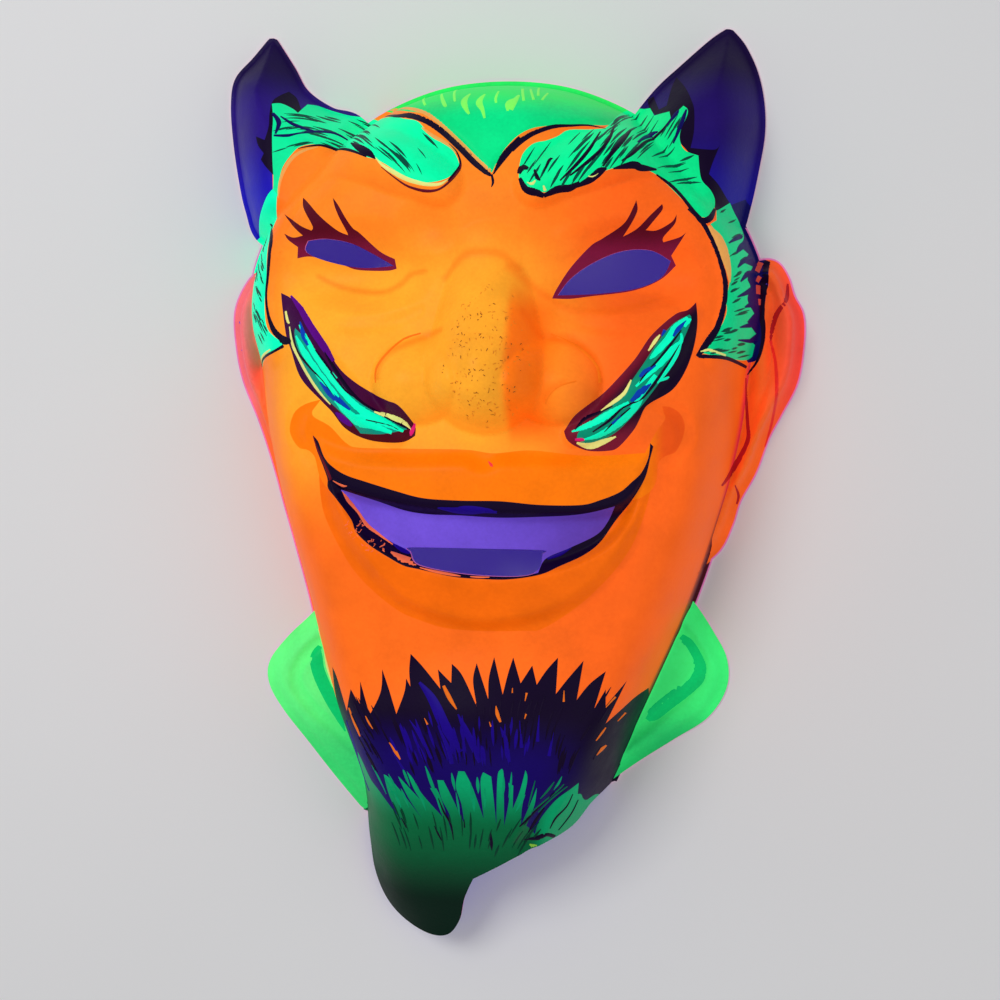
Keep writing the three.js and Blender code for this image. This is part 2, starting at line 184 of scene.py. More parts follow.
# Stepped areas of the face
CAP = [
    [(0, 101), (7, 110), (15, 116), (28, 118.5), (42, 122), (58, 130)],
    [(58, 130), (40, 142), (0, 150), (-40, 142), (-58, 130)],
    [(-58, 130), (-44, 127), (-30, 123), (-20, 119.5), (-9, 111), (0, 101)],
]
LIPS = [
    [(-56, 22), (-44, 17.5), (-26, 16.5), (-6, 17), (0, 15), (6, 17), (28, 17), (46, 18.5), (54, 22)],
    [(54, 22), (52, 6), (45, -17), (27, -34), (0, -41), (-27, -34), (-46, -14), (-54, 6), (-56, 22)],
]
MOUTH = [
    [(-51, 9), (-40, 4), (-21, 0.5), (0, -1), (22, -1), (40, 1), (50, 10)],
    [(50, 10), (47, -4), (37, -15), (20, -22), (0, -23.5), (-20, -21), (-37, -13), (-47, -1), (-51, 9)],
]

# Ridges as (x, y, half width, height)
BROW = [
    (15, 99, 7.5, 5), (26, 104.5, 9.5, 7), (39, 109.5, 10, 8), (52, 112, 10, 8), (63, 107, 9.5, 8),
    (71, 95, 8, 6), (76, 80, 7, 4), (78, 62, 7, 3), (74, 47, 7, 3),
]
MOUSTACHE = [(64, 60, 3, 1.5), (56, 47, 5.5, 3.5), (46, 35.5, 6, 4), (36, 26, 5.5, 4), (28, 22, 4.5, 3)]
NOSE = [(0, 77, 11, 3), (0, 66, 14, 10), (0, 56, 16.5, 17), (0, 47, 18.5, 21), (0, 39.5, 18, 20)]
DIMPLE = [(54, 32, 3, -0.8), (60, 28, 3.5, -1.6), (62, 21, 3.5, -1.6), (58, 14, 3, -0.8)]
EYE_FOLD = [(22, 60, 2.5, -0.6), (32, 56.5, 3, -1.3), (46, 56, 3, -1.3), (60, 60, 2.5, -0.4)]
BEARD_CREASE = [(23, -93, 3, -1), (17, -103, 3.5, -2.5), (12, -113, 4, -3)]
HELIX = [
    (84, 74.6, 3.6, 3), (90, 74.6, 3.8, 4.6), (94, 67, 3.8, 6), (95.4, 56, 5, 7), (94.8, 44, 5, 7),
    (91, 31, 4.6, 6), (85.6, 15, 4.4, 5.4), (79.4, 1, 4.4, 4.8), (73.4, -13, 4.2, 4),
]
ANTIHELIX = [(88, 65, 3, 1.6), (85.6, 54, 3.6, 3), (86.6, 40, 4, 3.8), (85, 24, 3.8, 3.6), (79, 6, 3.4, 2.4)]
COLLAR_LINE = [
    (56, -42, 2.5, -1.2), (64, -48, 2.5, -1.4), (68.5, -57, 2.5, -1.4), (64, -66, 2.5, -1.4),
    (53, -76, 2.5, -1.4), (42, -86, 2.5, -1.2),
]
LEFT_EAR_SHIFT = (7, -3)
LEFT_COLLAR_SHIFT = (-3, -8)

# Swellings and hollows as (x, y, half width, half height, rise, roundness)
KNOBS = [(0, -66, 32, 22, 4, 1.5), (0, 4, 60, 34, 3, 1.5), (0, 39, 17, 14, 6, 1)]
PAIRED_KNOBS = [
    (21.5, 38, 14.5, 13.5, 11, 0.8), (50, 38, 30, 28, 6, 1.5), (43, 73, 28, 17, -8, 1.5),
    (41, 60, 20, 7, 1.6, 1), (19, 86, 11, 9, -3, 1.5), (64, 2, 10, 26, 2, 1.5),
]


def rgb(red, green, blue):
    """A display colour from 0 to 255 as the linear colour that shaders use."""
    shares = [value / 255 for value in (red, green, blue)]
    return tuple(s / 12.92 if s <= 0.04045 else ((s + 0.055) / 1.055) ** 2.4 for s in shares)


# Colours of the bare plastic and the glowing paints
PLASTIC = rgb(96, 66, 198)
EDGE = rgb(226, 122, 186)
BLACK = rgb(16, 2, 34)
NAVY = rgb(10, 6, 84)
PINE = rgb(2, 74, 60)
CYAN = rgb(0, 252, 196)
GREEN = rgb(2, 106, 66)
BAND = rgb(6, 206, 112)
BLUE = rgb(0, 60, 172)
PLUM = rgb(84, 4, 128)
ROSE = rgb(214, 24, 112)
MAROON = rgb(96, 12, 34)
WINE = rgb(176, 26, 34)
# A deeper orange for painted shade in creases.
CREASE_SHADE = rgb(244, 116, 20)
TAN = rgb(232, 164, 84)
PALE = rgb(226, 228, 132)
AMBER = rgb(226, 108, 24)
SLIVER = rgb(246, 112, 72)
CORAL = rgb(206, 74, 62)
INDIGO = rgb(26, 2, 124)
EMBER = rgb(228, 48, 42)
MINT = rgb(128, 252, 96)
LIME = rgb(132, 184, 62)
SPOT = rgb(226, 60, 70)


# Runs of points, polygons and distances
RUN_SAMPLES = 24  # between two control points, before they are spaced evenly


def smooth(points, step=1.0):
    """A smooth run through control points; columns after x and y are carried along."""
    p = np.asarray(points, float)
    ends = np.vstack([p[:1], p, p[-1:]])
    t = np.linspace(0, len(p) - 1, RUN_SAMPLES * (len(p) - 1) + 1)
    i = np.minimum(t.astype(int), len(p) - 2)
    f = (t - i)[:, None]
    a, b, c, d = ends[i], ends[i + 1], ends[i + 2], ends[i + 3]
    q = 0.5 * (2 * b + (c - a) * f + (2 * a - 5 * b + 4 * c - d) * f**2 + (3 * b - a - 3 * c + d) * f**3)
    run = np.r_[0, np.cumsum(np.hypot(*np.diff(q[:, :2], axis=0).T))]
    places = np.linspace(0, run[-1], max(2, math.ceil(run[-1] / step)) + 1)
    return np.column_stack([np.interp(places, run, column) for column in q.T])


def closed(stretches, step=1.0):
    """The closed polygon of smooth stretches that meet in corners."""
    return np.vstack([smooth(stretch, step)[:-1] for stretch in stretches])


def outline(points, step=0.8, corner=52):
    """A closed polygon through painted points, smooth except where it turns sharply."""
    p = np.asarray(points, float)
    before, after = p - np.roll(p, 1, axis=0), np.roll(p, -1, axis=0) - p
    turn = np.degrees(np.arctan2(
        before[:, 0] * after[:, 1] - before[:, 1] * after[:, 0], (before * after).sum(axis=1)))
    corners = list(np.nonzero(np.abs(turn) > corner)[0]) or [0]
    rounds = []
    for here, there in zip(corners, corners[1:] + [corners[0] + len(p)]):
        rounds.append(p[np.arange(here, there + 1) % len(p)])
    return closed(rounds, step)


def nearest(path, x, y):
    """Distance to a run of points, and the run's other columns at the nearest place."""
    best = np.full(x.shape, np.inf)
    extra = np.zeros((len(x), path.shape[1] - 2))
    for a, b in zip(path[:-1], path[1:]):
        u = b[:2] - a[:2]
        t = np.clip(((x - a[0]) * u[0] + (y - a[1]) * u[1]) / max(u @ u, 1e-12), 0, 1)
        d = (a[0] + t * u[0] - x) ** 2 + (a[1] + t * u[1] - y) ** 2
        closer = d < best
        best[closer] = d[closer]
        if extra.shape[1]:
            extra[closer] = a[2:] + t[closer, None] * (b[2:] - a[2:])
    return np.sqrt(best), extra


def contains(path, x, y):
    """Which points are inside a closed polygon."""
    inside = np.zeros(x.shape, bool)
    near = box_of(path, x, y, 0)
    px, py = x[near], y[near]
    hit = np.zeros(px.shape, bool)
    for a, b in zip(path, np.roll(path, -1, axis=0)):
        if a[1] != b[1]:
            crossing = (b[0] - a[0]) * (py - a[1]) / (b[1] - a[1]) + a[0]
            hit ^= ((a[1] > py) != (b[1] > py)) & (px < crossing)
    inside[near] = hit
    return inside


def box_of(path, x, y, reach):
    """Which points are in the box round a run of points."""
    low, high = path[:, :2].min(axis=0) - reach, path[:, :2].max(axis=0) + reach
    return (x > low[0]) & (x < high[0]) & (y > low[1]) & (y < high[1])


def ease(t):
    """A soft step from 0 to 1."""
    t = np.clip(t, 0, 1)
    return t * t * (3 - 2 * t)


def fade(v, start, end):
    """A share from 0 to 1 as a value goes from start to end."""
    return ease((v - start) / (end - start))


def climb(depth, reach, power):
    """A steep rise from 0 that levels out at 1 over a reach."""
    return 1 - (1 - np.clip(depth / reach, 0, 1)) ** power


def profile(table):
    """A smooth function through a table of (place, value)."""
    xs, ys = np.array(table, float).T

    def at(v):
        v = np.clip(v, xs[0], xs[-1])
        i = np.clip(np.searchsorted(xs, v, side="right") - 1, 0, len(xs) - 2)
        t0, t1 = xs[i], xs[i + 1]
        first, last = i == 0, i + 2 >= len(xs)
        t_before = np.where(first, 2 * t0 - t1, xs[np.maximum(i - 1, 0)])
        v_before = np.where(first, ys[i + 1], ys[np.maximum(i - 1, 0)])
        t_after = np.where(last, 2 * t1 - t0, xs[np.minimum(i + 2, len(xs) - 1)])
        v_after = np.where(last, ys[i], ys[np.minimum(i + 2, len(xs) - 1)])
        half = 0.5 * (t1 - t0)
        w0, w1 = half / (t0 - t_before), half / (t_after - t1)
        p = (v - t0) / (t1 - t0)
        return (
            (-w0 * p**3 + 2 * w0 * p**2 - w0 * p) * v_before
            + ((1 + w0) * p**3 + (-1.5 - 2 * w0) * p**2 + (-0.5 + w0) * p + 1) * ys[i]
            + ((-1 - w1) * p**3 + (1.5 + w1) * p**2 + 0.5 * p) * ys[i + 1]
            + (w1 * p**3 - w1 * p**2) * v_after
        )

    return at


def depth_in(path, x, y):
    """How far inside a closed polygon each point is, or 0 outside it."""
    depth = np.zeros(x.shape)
    inside = contains(path, x, y)
    depth[inside] = nearest(np.vstack([path, path[:1]]), x[inside], y[inside])[0]
    return depth


def add_ridge(z, path, x, y):
    """Adds a rounded ridge that follows a path."""
    run = smooth(path)
    near = box_of(run, x, y, run[:, 2].max())
    distance, extra = nearest(run, x[near], y[near])
    share = distance / extra[:, 0]
    z[near] += np.where(share < 1, extra[:, 1] * (1 - share**2), 0)


def add_knob(z, knob, x, y):
    """Adds a swelling or a hollow."""
    cx, cy, rx, ry, rise, roundness = knob
    share = ((x - cx) / rx) ** 2 + ((y - cy) / ry) ** 2
    z += np.where(share < 1, rise * np.maximum(1 - share, 0) ** roundness, 0)


def foot_of(shape):
    """The part of a formed shape's foot that shows."""
    if "hidden" in shape:
        return smooth(shape["right" if shape["hidden"] == "left" else "left"])
    over = shape.get("top", [shape["left"][0], shape["right"][0]])
    return np.vstack([smooth(shape["left"][::-1]), smooth(over)[1:], smooth(shape["right"])[1:]])


def border_of(shape):
    """The closed outline of a formed shape."""
    over = shape.get("top", [shape["left"][0], shape["right"][0]])
    under = [shape["right"][-1], shape["left"][-1]]
    return np.vstack([
        smooth(shape["left"][::-1]), smooth(over)[1:-1], smooth(shape["right"]), smooth(under)[1:-1]])


def flange_of(shape, width=FLANGE):
    """A shape's border moved outwards by the width of the flat lip."""
    p = border_of(shape)
    along = np.roll(p, -1, axis=0) - np.roll(p, 1, axis=0)
    along /= np.hypot(*along.T)[:, None]
    return p + width * np.column_stack([-along[:, 1], along[:, 0]])


def head_height(x, y):
    """The head with all its stepped areas, ridges and swellings."""
    z = profile(FRONT)(y) - CHEEK_CURVE * x * x
    z += CAP_STEP * ease(depth_in(closed(CAP), x, y) / CAP_EDGE)
    z += LIP_RISE * ease(depth_in(closed(LIPS), x, y) / LIP_EDGE)
    z -= TEETH_DROP * ease(depth_in(closed(MOUTH), x, y) / TEETH_EDGE)
    for path in (BROW, MOUSTACHE, DIMPLE, EYE_FOLD):
        add_ridge(z, path, x, y)
        add_ridge(z, mirror(path), x, y)
    for path in (NOSE, BEARD_CREASE):
        add_ridge(z, path, x, y)
    for knob in KNOBS + PAIRED_KNOBS + mirror(PAIRED_KNOBS):
        add_knob(z, knob, x, y)
    return z * climb(nearest(foot_of(HEAD), x, y)[0], WALL, WALL_POWER)


def horn_height(shape):
    """A horn, which sinks away where the head takes over."""
    end = np.array([shape["left"][-1], shape["right"][-1]], float)

    def height(x, y):
        z = profile(HORN_HEIGHT)(y) * climb(nearest(foot_of(shape), x, y)[0], HORN_WALL, HORN_POWER)
        return z * ease(nearest(end, x, y)[0] / HORN_SINK)

    return height


def plate_height(shape, rise, ridges):
    """An ear or a collar half, a plate with ridges."""
    def height(x, y):
        z = np.full(x.shape, float(rise))
        for path in ridges:
            add_ridge(z, path, x, y)
        return z * ease(nearest(foot_of(shape), x, y)[0] / PLATE_EDGE)

    return height


EARS = [HELIX, ANTIHELIX]
LEFT_EARS = [shift(mirror(path), *LEFT_EAR_SHIFT) for path in EARS]
LEFT_COLLAR_LINE = shift(mirror(COLLAR_LINE), *LEFT_COLLAR_SHIFT)
FORMED = [
    (HEAD, head_height),
    (HORN_RIGHT, horn_height(HORN_RIGHT)),
    (HORN_LEFT, horn_height(HORN_LEFT)),
    (EAR_RIGHT, plate_height(EAR_RIGHT, EAR_PLATE, EARS)),
    (EAR_LEFT, plate_height(EAR_LEFT, EAR_PLATE, LEFT_EARS)),
    (COLLAR_RIGHT, plate_height(COLLAR_RIGHT, COLLAR_PLATE, [COLLAR_LINE])),
    (COLLAR_LEFT, plate_height(COLLAR_LEFT, COLLAR_PLATE, [LEFT_COLLAR_LINE])),
]


def heights(x, y):
    """Each formed shape's height over the flat lip at each point, one row for each shape."""
    rows = np.zeros((len(FORMED), len(x)))
    for row, (shape, height) in zip(rows, FORMED):
        inside = contains(border_of(shape), x, y)
        row[inside] = height(x[inside], y[inside])
    return rows


def outer_face(rows):
    """The highest of the shapes, rounded where two of them meet."""
    ordered = np.sort(rows, axis=0)
    high, low = ordered[-1], ordered[-2]
    soft = CREASE_ROUND * np.clip(low / (2 * CREASE_ROUND), 0, 1)
    share = np.clip(1 - (high - low) / np.maximum(soft, 1e-9), 0, 1)
    return high + soft * share**2 / 4


def inner_face(x, y, sheet):
    """The face a sheet's thickness behind the outer one, measured square to it."""
    rows, tiny = heights(x, y), 0.05
    east, west = heights(x + tiny, y), heights(x - tiny, y)
    north, south = heights(x, y + tiny), heights(x, y - tiny)
    slope = np.hypot(east - west, north - south) / (2 * tiny)
    behind = sheet + rows - sheet * np.sqrt(1 + slope**2)
    return np.maximum(0, np.where(rows > 0, behind, 0).max(axis=0))


# Painted areas
CAP_PAINT = [
    (-52, 128.5), (-43.5, 128), (-40, 129), (-29, 124.5), (-22.5, 122.5), (-16.5, 118.5), (-11, 114),
    (-5.5, 108.5), (-1.5, 105), (1, 102.5), (3.5, 108), (6, 111.5), (9, 114.5), (12.5, 116.5),
    (16.5, 117.5), (25.5, 118.5), (35, 119), (39, 121.5), (39.5, 125.5), (52, 127.5), (60, 118),
    (70, 149.5), (0, 160), (-70, 150), (-62, 118),
]
BROW_LEFT = [
    (-76.5, 129.5), (-74, 130), (-70.5, 128.5), (-68.5, 127), (-67, 131), (-64, 131), (-59.5, 129.5),
    (-54, 128), (-50.5, 127.5), (-46.5, 127), (-39, 124.5), (-33, 123), (-29, 121.5), (-24, 120),
    (-20.5, 116.5), (-17, 113.5), (-13, 111), (-11, 109), (-9.5, 106), (-9.5, 104),
    (-11.5, 101), (-14.5, 99.5), (-19, 99), (-24, 100.5), (-28, 102.5), (-32, 105), (-35, 106.5),
    (-38.5, 107.5), (-43.5, 110), (-49, 112), (-57, 114.5), (-61, 115), (-65, 114), (-67.5, 111.5),
    (-70, 107.5), (-71, 103), (-71, 99), (-72, 96), (-73, 96), (-73, 103), (-73.5, 107.5), (-74, 112),
    (-74.5, 117.5), (-75, 123.5),
]
SIDEBURN_LEFT = [
    (-71.5, 97.5), (-72.5, 91), (-73.5, 86), (-74, 80), (-74, 71.5), (-74.5, 63.5), (-74, 57.5),
    (-73, 54.5), (-71, 52.5), (-66.5, 49.5), (-68.5, 48), (-71.5, 46.5), (-76, 44.5), (-84, 41), (-85, 44),
    (-86, 52), (-87, 62.5), (-88, 72), (-87, 83.5), (-81.5, 89.5), (-78, 93.5), (-75, 98), (-73, 100),
]
BROW_RIGHT = [
    (9.5, 102), (9.5, 105.5), (10.5, 109), (13.5, 112), (17.5, 113), (21, 114.5), (24, 116.5), (30.5, 117),
    (35, 117.5), (37.5, 122), (39.5, 128.5), (44.5, 129.5), (48.5, 129), (50, 125.5), (55, 126),
    (55.5, 123.5), (59.5, 127.5), (61, 125), (58.5, 117.5), (60, 112.5), (64.5, 110.5), (65.5, 103),
    (68.5, 99.5), (70, 96.5), (69.5, 92.5), (67.5, 90), (64, 90.5), (61.5, 93.5), (56, 99), (52, 102.5),
    (48.5, 104), (44.5, 104.5), (40, 104), (35.5, 102.5), (31.5, 100.5), (27.5, 98.5), (24.5, 97),
    (19.5, 96.5), (17.5, 96), (15, 97), (12, 98), (10, 100),
]
SIDEBURN_RIGHT = [
    (70.5, 93), (75, 96.5), (76.5, 94), (79, 90.5), (80, 86), (78, 82.5), (81.5, 80.5), (79.5, 77),
    (83, 76.5), (81, 72), (82, 69.5), (81, 65), (83.5, 61), (81, 58), (84.5, 54.5), (82, 52.5), (85.5, 50),
    (82, 46), (75.5, 46), (66.5, 47.5), (71.5, 54.5), (74, 60), (74, 64.5), (75, 71.5), (74.5, 77),
    (72.5, 82), (70.5, 85.5), (68.5, 88), (70.5, 89.5),
]
TEMPLE_DARK = [
    (75.5, 96), (80.5, 99), (85.5, 92), (85.5, 80), (88.5, 79), (88, 70.5), (87, 60.5), (86.5, 50),
    (85, 46), (82, 45), (77.5, 52), (75, 64.5), (75.5, 77), (75, 91),
]
HORN_HAIR_LEFT = [
    (-80.5, 118), (-77, 116.5), (-76, 121), (-76.5, 126), (-76.5, 130.5), (-75, 133), (-73, 135),
    (-70.5, 133), (-68, 128.5), (-65.5, 125), (-69, 121.5), (-70.5, 114), (-72, 106.5), (-73, 104.5),
    (-76, 107.5), (-78, 110), (-77, 112), (-79.5, 115),
]
HORN_HAIR_RIGHT = [
    (47.5, 132.5), (49.5, 133.5), (51.5, 127.5), (54, 128.5), (55.5, 135.5), (57, 139.5), (60, 134.5),
    (62, 129.5), (63, 125.5), (63, 118.5), (62, 113), (69.5, 112.5), (71.5, 114.5), (69, 108), (68, 104.5),
    (71, 101.5), (74, 97.5), (75.5, 96), (70.5, 93), (68.5, 96.5), (65, 103), (62, 110.5), (58, 115.5),
    (52.5, 123), (48.5, 128.5),
]
MOUSTACHE_LEFT = [
    (-68.5, 66), (-64.5, 64), (-60.5, 60), (-56, 55.5), (-52.5, 51), (-50, 48), (-48, 44.5), (-44, 40),
    (-37, 35), (-30, 32), (-27, 31), (-24.5, 28.5), (-22, 24), (-22, 21), (-26, 19), (-34, 19), (-40, 20.5),
    (-45, 23.5), (-49, 28.5), (-55, 34), (-60, 39.5), (-63.5, 47.5), (-65.5, 51.5), (-67, 57), (-68, 62),
]
MOUSTACHE_LEFT_BRIGHT = [
    (-62, 54.5), (-57, 50.5), (-51.5, 45), (-47, 39.5), (-41, 33), (-34.5, 28.5), (-27, 25), (-24.5, 23),
    (-32, 21.5), (-39.5, 21.5), (-42.5, 25.5), (-46.5, 29), (-53.5, 35.5), (-59.5, 44.5), (-62, 52),
]
MOUSTACHE_RIGHT = [
    (64.5, 63.5), (65, 57), (64, 49.5), (61.5, 42), (57.5, 36), (51, 32), (49, 30), (47.5, 26.5),
    (45.5, 23), (41, 18), (37.5, 17), (32, 17), (28, 18.5), (25.5, 20.5), (24.5, 23), (28, 28), (35.5, 34),
    (40, 38.5), (46, 45.5), (51, 53), (58, 59.5), (62, 61),
]
MOUSTACHE_RIGHT_BRIGHT = [
    (62.5, 59.5), (57.5, 56.5), (53, 51), (48, 43), (41, 33), (34.5, 27.5), (29.5, 23.5), (28.5, 20.5),
    (32, 18.5), (40, 22.5), (46.5, 29), (52, 36), (56, 42), (60, 50), (63, 57.5),
]
LASHES_LEFT = [
    (-30, 73.5), (-30.5, 76.5), (-35.5, 79), (-41.5, 84.5), (-44, 86.5), (-48, 93), (-50, 95.5), (-49, 92),
    (-46, 85.5), (-45.5, 84), (-49, 85.5), (-54.5, 90), (-58.5, 94), (-61.5, 96.5), (-61, 93.5), (-57, 87),
    (-57.5, 85.5), (-61, 87), (-66.5, 90.5), (-68, 91.5), (-64.5, 87.5), (-60.5, 84), (-64, 83.5),
    (-67.5, 85), (-66, 83), (-62.5, 80.5), (-63, 77), (-58, 77.5), (-48.5, 75), (-44, 73.5), (-37.5, 73),
    (-32.5, 73),
]
LASHES_RIGHT = [
    (20, 64), (21.5, 67.5), (25.5, 74), (31.5, 80.5), (35.5, 83), (42, 87.5), (45, 93), (45.5, 94.5),
    (46, 91.5), (44.5, 88), (41.5, 83.5), (46, 86), (50.5, 90.5), (53.5, 93.5), (53.5, 91.5), (49.5, 86.5),
    (48.5, 85.5), (52, 85.5), (56.5, 88), (58, 90.5), (57.5, 87.5), (54, 83.5), (54, 82), (59, 83.5),
    (61, 85), (59.5, 82.5), (56.5, 78), (58, 75), (53, 70.5), (44.5, 67), (32, 65), (25.5, 64),
]
MOUTH_BLACK = [
    (-55.5, 20.5), (-54.5, 16), (-52, 10.5), (-50.5, 7), (-50.5, 4), (-47.5, 1), (-42.5, -5.5),
    (-40.5, -9.5), (-36, -13.5), (-30, -17), (-25, -19.5), (-20, -20.5), (-9.5, -22.5), (-1, -23), (8, -23),
    (17.5, -21.5), (23.5, -19), (31, -15.5), (36, -11.5), (40.5, -5), (45.5, 1.5), (49.5, 8.5), (51, 14.5),
    (52, 18.5), (51, 19.5), (50.5, 15), (48.5, 10.5), (45.5, 7.5), (42, 4.5), (36, 2), (30, 0.5),
    (17.5, 0.5), (5.5, 1.5), (-7, 1.5), (-18.5, 2), (-27.5, 4), (-37, 6.5), (-44, 8.5), (-48.5, 11),
    (-51.5, 14), (-53.5, 18.5),
]
TEETH = [
    (-46.5, 3.5), (-42, 2.5), (-34.5, 0.5), (-25.5, -2.5), (-17.5, -3.5), (-7.5, -3.5), (5, -4),
    (17.5, -3.5), (26.5, -3), (33, -2), (40.5, 0), (38, -5.5), (34.5, -9.5), (26.5, -13.5), (19, -17),
    (17, -21), (11.5, -22), (2, -22), (-10, -20.5), (-20.5, -18.5), (-24, -16), (-34, -10.5), (-38.5, -6.5),
    (-43.5, -1),
]
UPPER_LIP = [
    (-52.5, 32), (-55.5, 28.5), (-55, 26.5), (-49.5, 23.5), (-44.5, 18.5), (-40, 17), (-24.5, 17), (-6, 17),
    (3, 16), (14.5, 17), (32, 15.5), (49.5, 16.5), (52.5, 22.5), (55.5, 27), (55, 29), (54.5, 31),
    (57.5, 30.5), (60.5, 28), (61.5, 23.5), (59, 17), (54, 14), (47, 2), (0, -6), (-47, 2), (-56, 14.5),
    (-61, 16.5), (-64, 20.5), (-64, 24), (-62, 28), (-58, 30.5),
]
LOWER_LIP = [
    (-54, 12), (-53.5, 1.5), (-51, -7.5), (-42, -22.5), (-29.5, -33.5), (-20.5, -37.5), (-9.5, -40),
    (11.5, -40), (19.5, -38.5), (33.5, -28), (45.5, -13), (51.5, 5.5), (51, 14), (0, -4),
]
BEARD_BLACK = [
    (-52.5, -56), (-50.5, -59), (-46.5, -69.5), (-44.5, -61.5), (-41, -66.5), (-41, -58.5), (-37.5, -69),
    (-34, -61.5), (-33.5, -54), (-28.5, -68), (-26, -61), (-25.5, -56.5), (-24, -59), (-24.5, -54),
    (-24, -48.5), (-19.5, -53), (-14, -59), (-15, -53), (-10.5, -57), (-10.5, -51), (-7, -54.5), (-2, -64),
    (-3.5, -56), (-2.5, -50.5), (1.5, -61.5), (1.5, -55), (3, -48.5), (6, -60), (7.5, -53.5), (9, -48.5),
    (11.5, -56.5), (15, -51), (16.5, -57), (19.5, -52.5), (23, -48.5), (22.5, -60), (26, -55.5),
    (31, -49.5), (29, -62), (33, -57), (38, -53), (34.5, -65), (38, -59), (38, -64.5), (44.5, -57),
    (38, -70.5), (46.5, -64.5), (51, -63.5), (52, -164), (-60.5, -169),
]
BEARD_GREEN = [
    (-44, -84), (-42.5, -86.5), (-39.5, -92.5), (-35.5, -96.5), (-28.5, -105.5), (-32, -97), (-33.5, -89),
    (-31.5, -90), (-27, -95.5), (-21.5, -104), (-25.5, -96.5), (-28.5, -89), (-27, -90.5), (-21.5, -97),
    (-23.5, -93), (-25.5, -87), (-23.5, -89.5), (-21, -94.5), (-14.5, -103), (-16, -97), (-18, -92.5),
    (-16, -92.5), (-14.5, -96.5), (-11.5, -110.5), (-12, -102.5), (-14.5, -96), (-15.5, -89.5),
    (-13.5, -89.5), (-11, -95.5), (-7.5, -105), (-8, -98), (-9.5, -91.5), (-8.5, -86), (-6.5, -86),
    (-4, -92), (-1, -103), (-1.5, -90), (-0.5, -86), (2, -87.5), (2.5, -95), (3, -105), (4, -88), (5, -85),
    (6, -86.5), (5.5, -105.5), (7.5, -95.5), (7.5, -89.5), (9, -90.5), (8.5, -99), (11, -92.5), (13, -85),
    (13.5, -88.5), (11.5, -98.5), (11, -105), (15, -95), (16.5, -91), (15.5, -97.5), (12.5, -105.5),
    (15, -109.5), (16.5, -104.5), (20, -99), (23.5, -95), (29.5, -90.5), (29, -95), (30, -95.5), (31, -99),
    (36, -105.5), (37, -164.5), (-60.5, -169),
]
# The face's skin where it runs over the horns' lower ends
TEMPLE_SKIN_LEFT = [
    (-74.5, 115), (-73, 97), (-76, 93), (-77, 88), (-84, 78), (-80, 70), (-50, 60), (-32, 90), (-32, 118),
    (-50, 122), (-66, 121),
]
TEMPLE_SKIN_RIGHT = [
    (68, 104), (69, 96), (72, 90), (78, 84), (80, 76), (60, 56), (30, 80), (26, 104), (40, 116), (58, 116),
]


# Painted shade in creases, whose sides are a deeper orange, as (x, y, half width)
CREASE_SHADES = [
    [(-56.5, 71.5, .8), (-49, 68, 1.1), (-36, 66, 1.1), (-28.5, 68.5, 1.1), (-25, 71.5, 1.1),
     (-20, 72.5, .8)],
    [(7, 73.5, 1.7), (12, 69.5, 1.7), (17, 65.5, 1.4), (25.5, 61, 1.4), (35, 60, 1.4), (44, 61.5, 1.4),
     (51.5, 64, .9)],
    [(-13.5, 70, 1.1), (-10, 74.5, 1.3), (-6, 77.5, 1.6), (0.5, 78, 1.6), (5, 77, 1.6), (10, 73, 1.1)],
    [(-33.5, 39, 1.2), (-33, 43, 1.4), (-30, 47, 1.5), (-25, 49.5, 1.5), (-19.5, 52, 1.4), (-13.5, 54, 1)],
    [(35.5, 38.5, 1.2), (35, 42, 1.4), (32.5, 47, 1.5), (27.5, 50, 1.5), (20.5, 51.5, 1.2)],
    [(19, 32.5, .9), (21, 36, 1.2), (25, 38.5, 1)],
    [(11.5, 60, 1.2), (17, 52.5, 1.2), (26, 52, 1.2), (33.5, 45.5, 1.2)],
]


def plain(colour):
    """One colour all over."""
    return lambda x, y: np.tile(colour, (len(x), 1))


def mix(a, b, share):
    """Colours between two, or between two lists of them."""
    share = np.clip(share, 0, 1)[:, None]
    return np.asarray(a) * (1 - share) + np.asarray(b) * share


def skin(x, y):
    """Painted light and shade: yellow-orange where the light falls on the nose and the left cheek, redder in
    painted shade to the right side, the top and the chin.
    """
    keep = 1 - fade(x, 1, 43)
    keep *= 1 - 0.6 * fade(y, 66, 90)
    keep *= 1 - 0.92 * fade(y, 34, -18)
    keep *= 1 - 0.65 * fade(x, -60, -76)
    colour = mix(rgb(254, 102, 26), rgb(254, 168, 42), keep)
    # Painted shade on the nose's right half, away from the light.
    nose = fade(x, 6, 9) * fade(x, 26, 16) * fade(y, 16, 26) * fade(y, 72, 58)
    colour = mix(colour, rgb(255, 108, 12), 0.85 * nose)
    # Painted shade along each crease.
    for path in CREASE_SHADES:
        run = smooth(path)
        near = box_of(run, x, y, 2)
        away, reach = nearest(run, x[near], y[near])
        colour[near] = mix(colour[near], rgb(240, 98, 10), 0.42 * (1 - ease(away / (1.5 * reach[:, 0]))))
    return right_wall_shade(colour, x, y)


def right_wall_shade(colour, x, y):
    """Painted shade along the foot of the face's right side: red beside the ear, almost black beside the
    collar.
    """
    wall = (x > 15) & (y < 60)
    away = nearest(smooth(HEAD["right"]), x[wall], y[wall])[0]
    tint = mix(rgb(226, 44, 78), rgb(70, 14, 26), fade(y[wall], 12, -18))
    share = (1 - fade(away, 0.9, 2.7)) * fade(y[wall], 56, 48)
    colour[wall] = mix(colour[wall], tint, share)
    return colour


def cap(x, y):
    """Green hair, a little darker to the sides and yellower at the top."""
    colour = mix(rgb(0, 224, 134), rgb(6, 204, 110), fade(np.abs(x - 2), 0, 46))
    return mix(colour, rgb(44, 236, 92), 0.8 * fade(y, 121, 131))


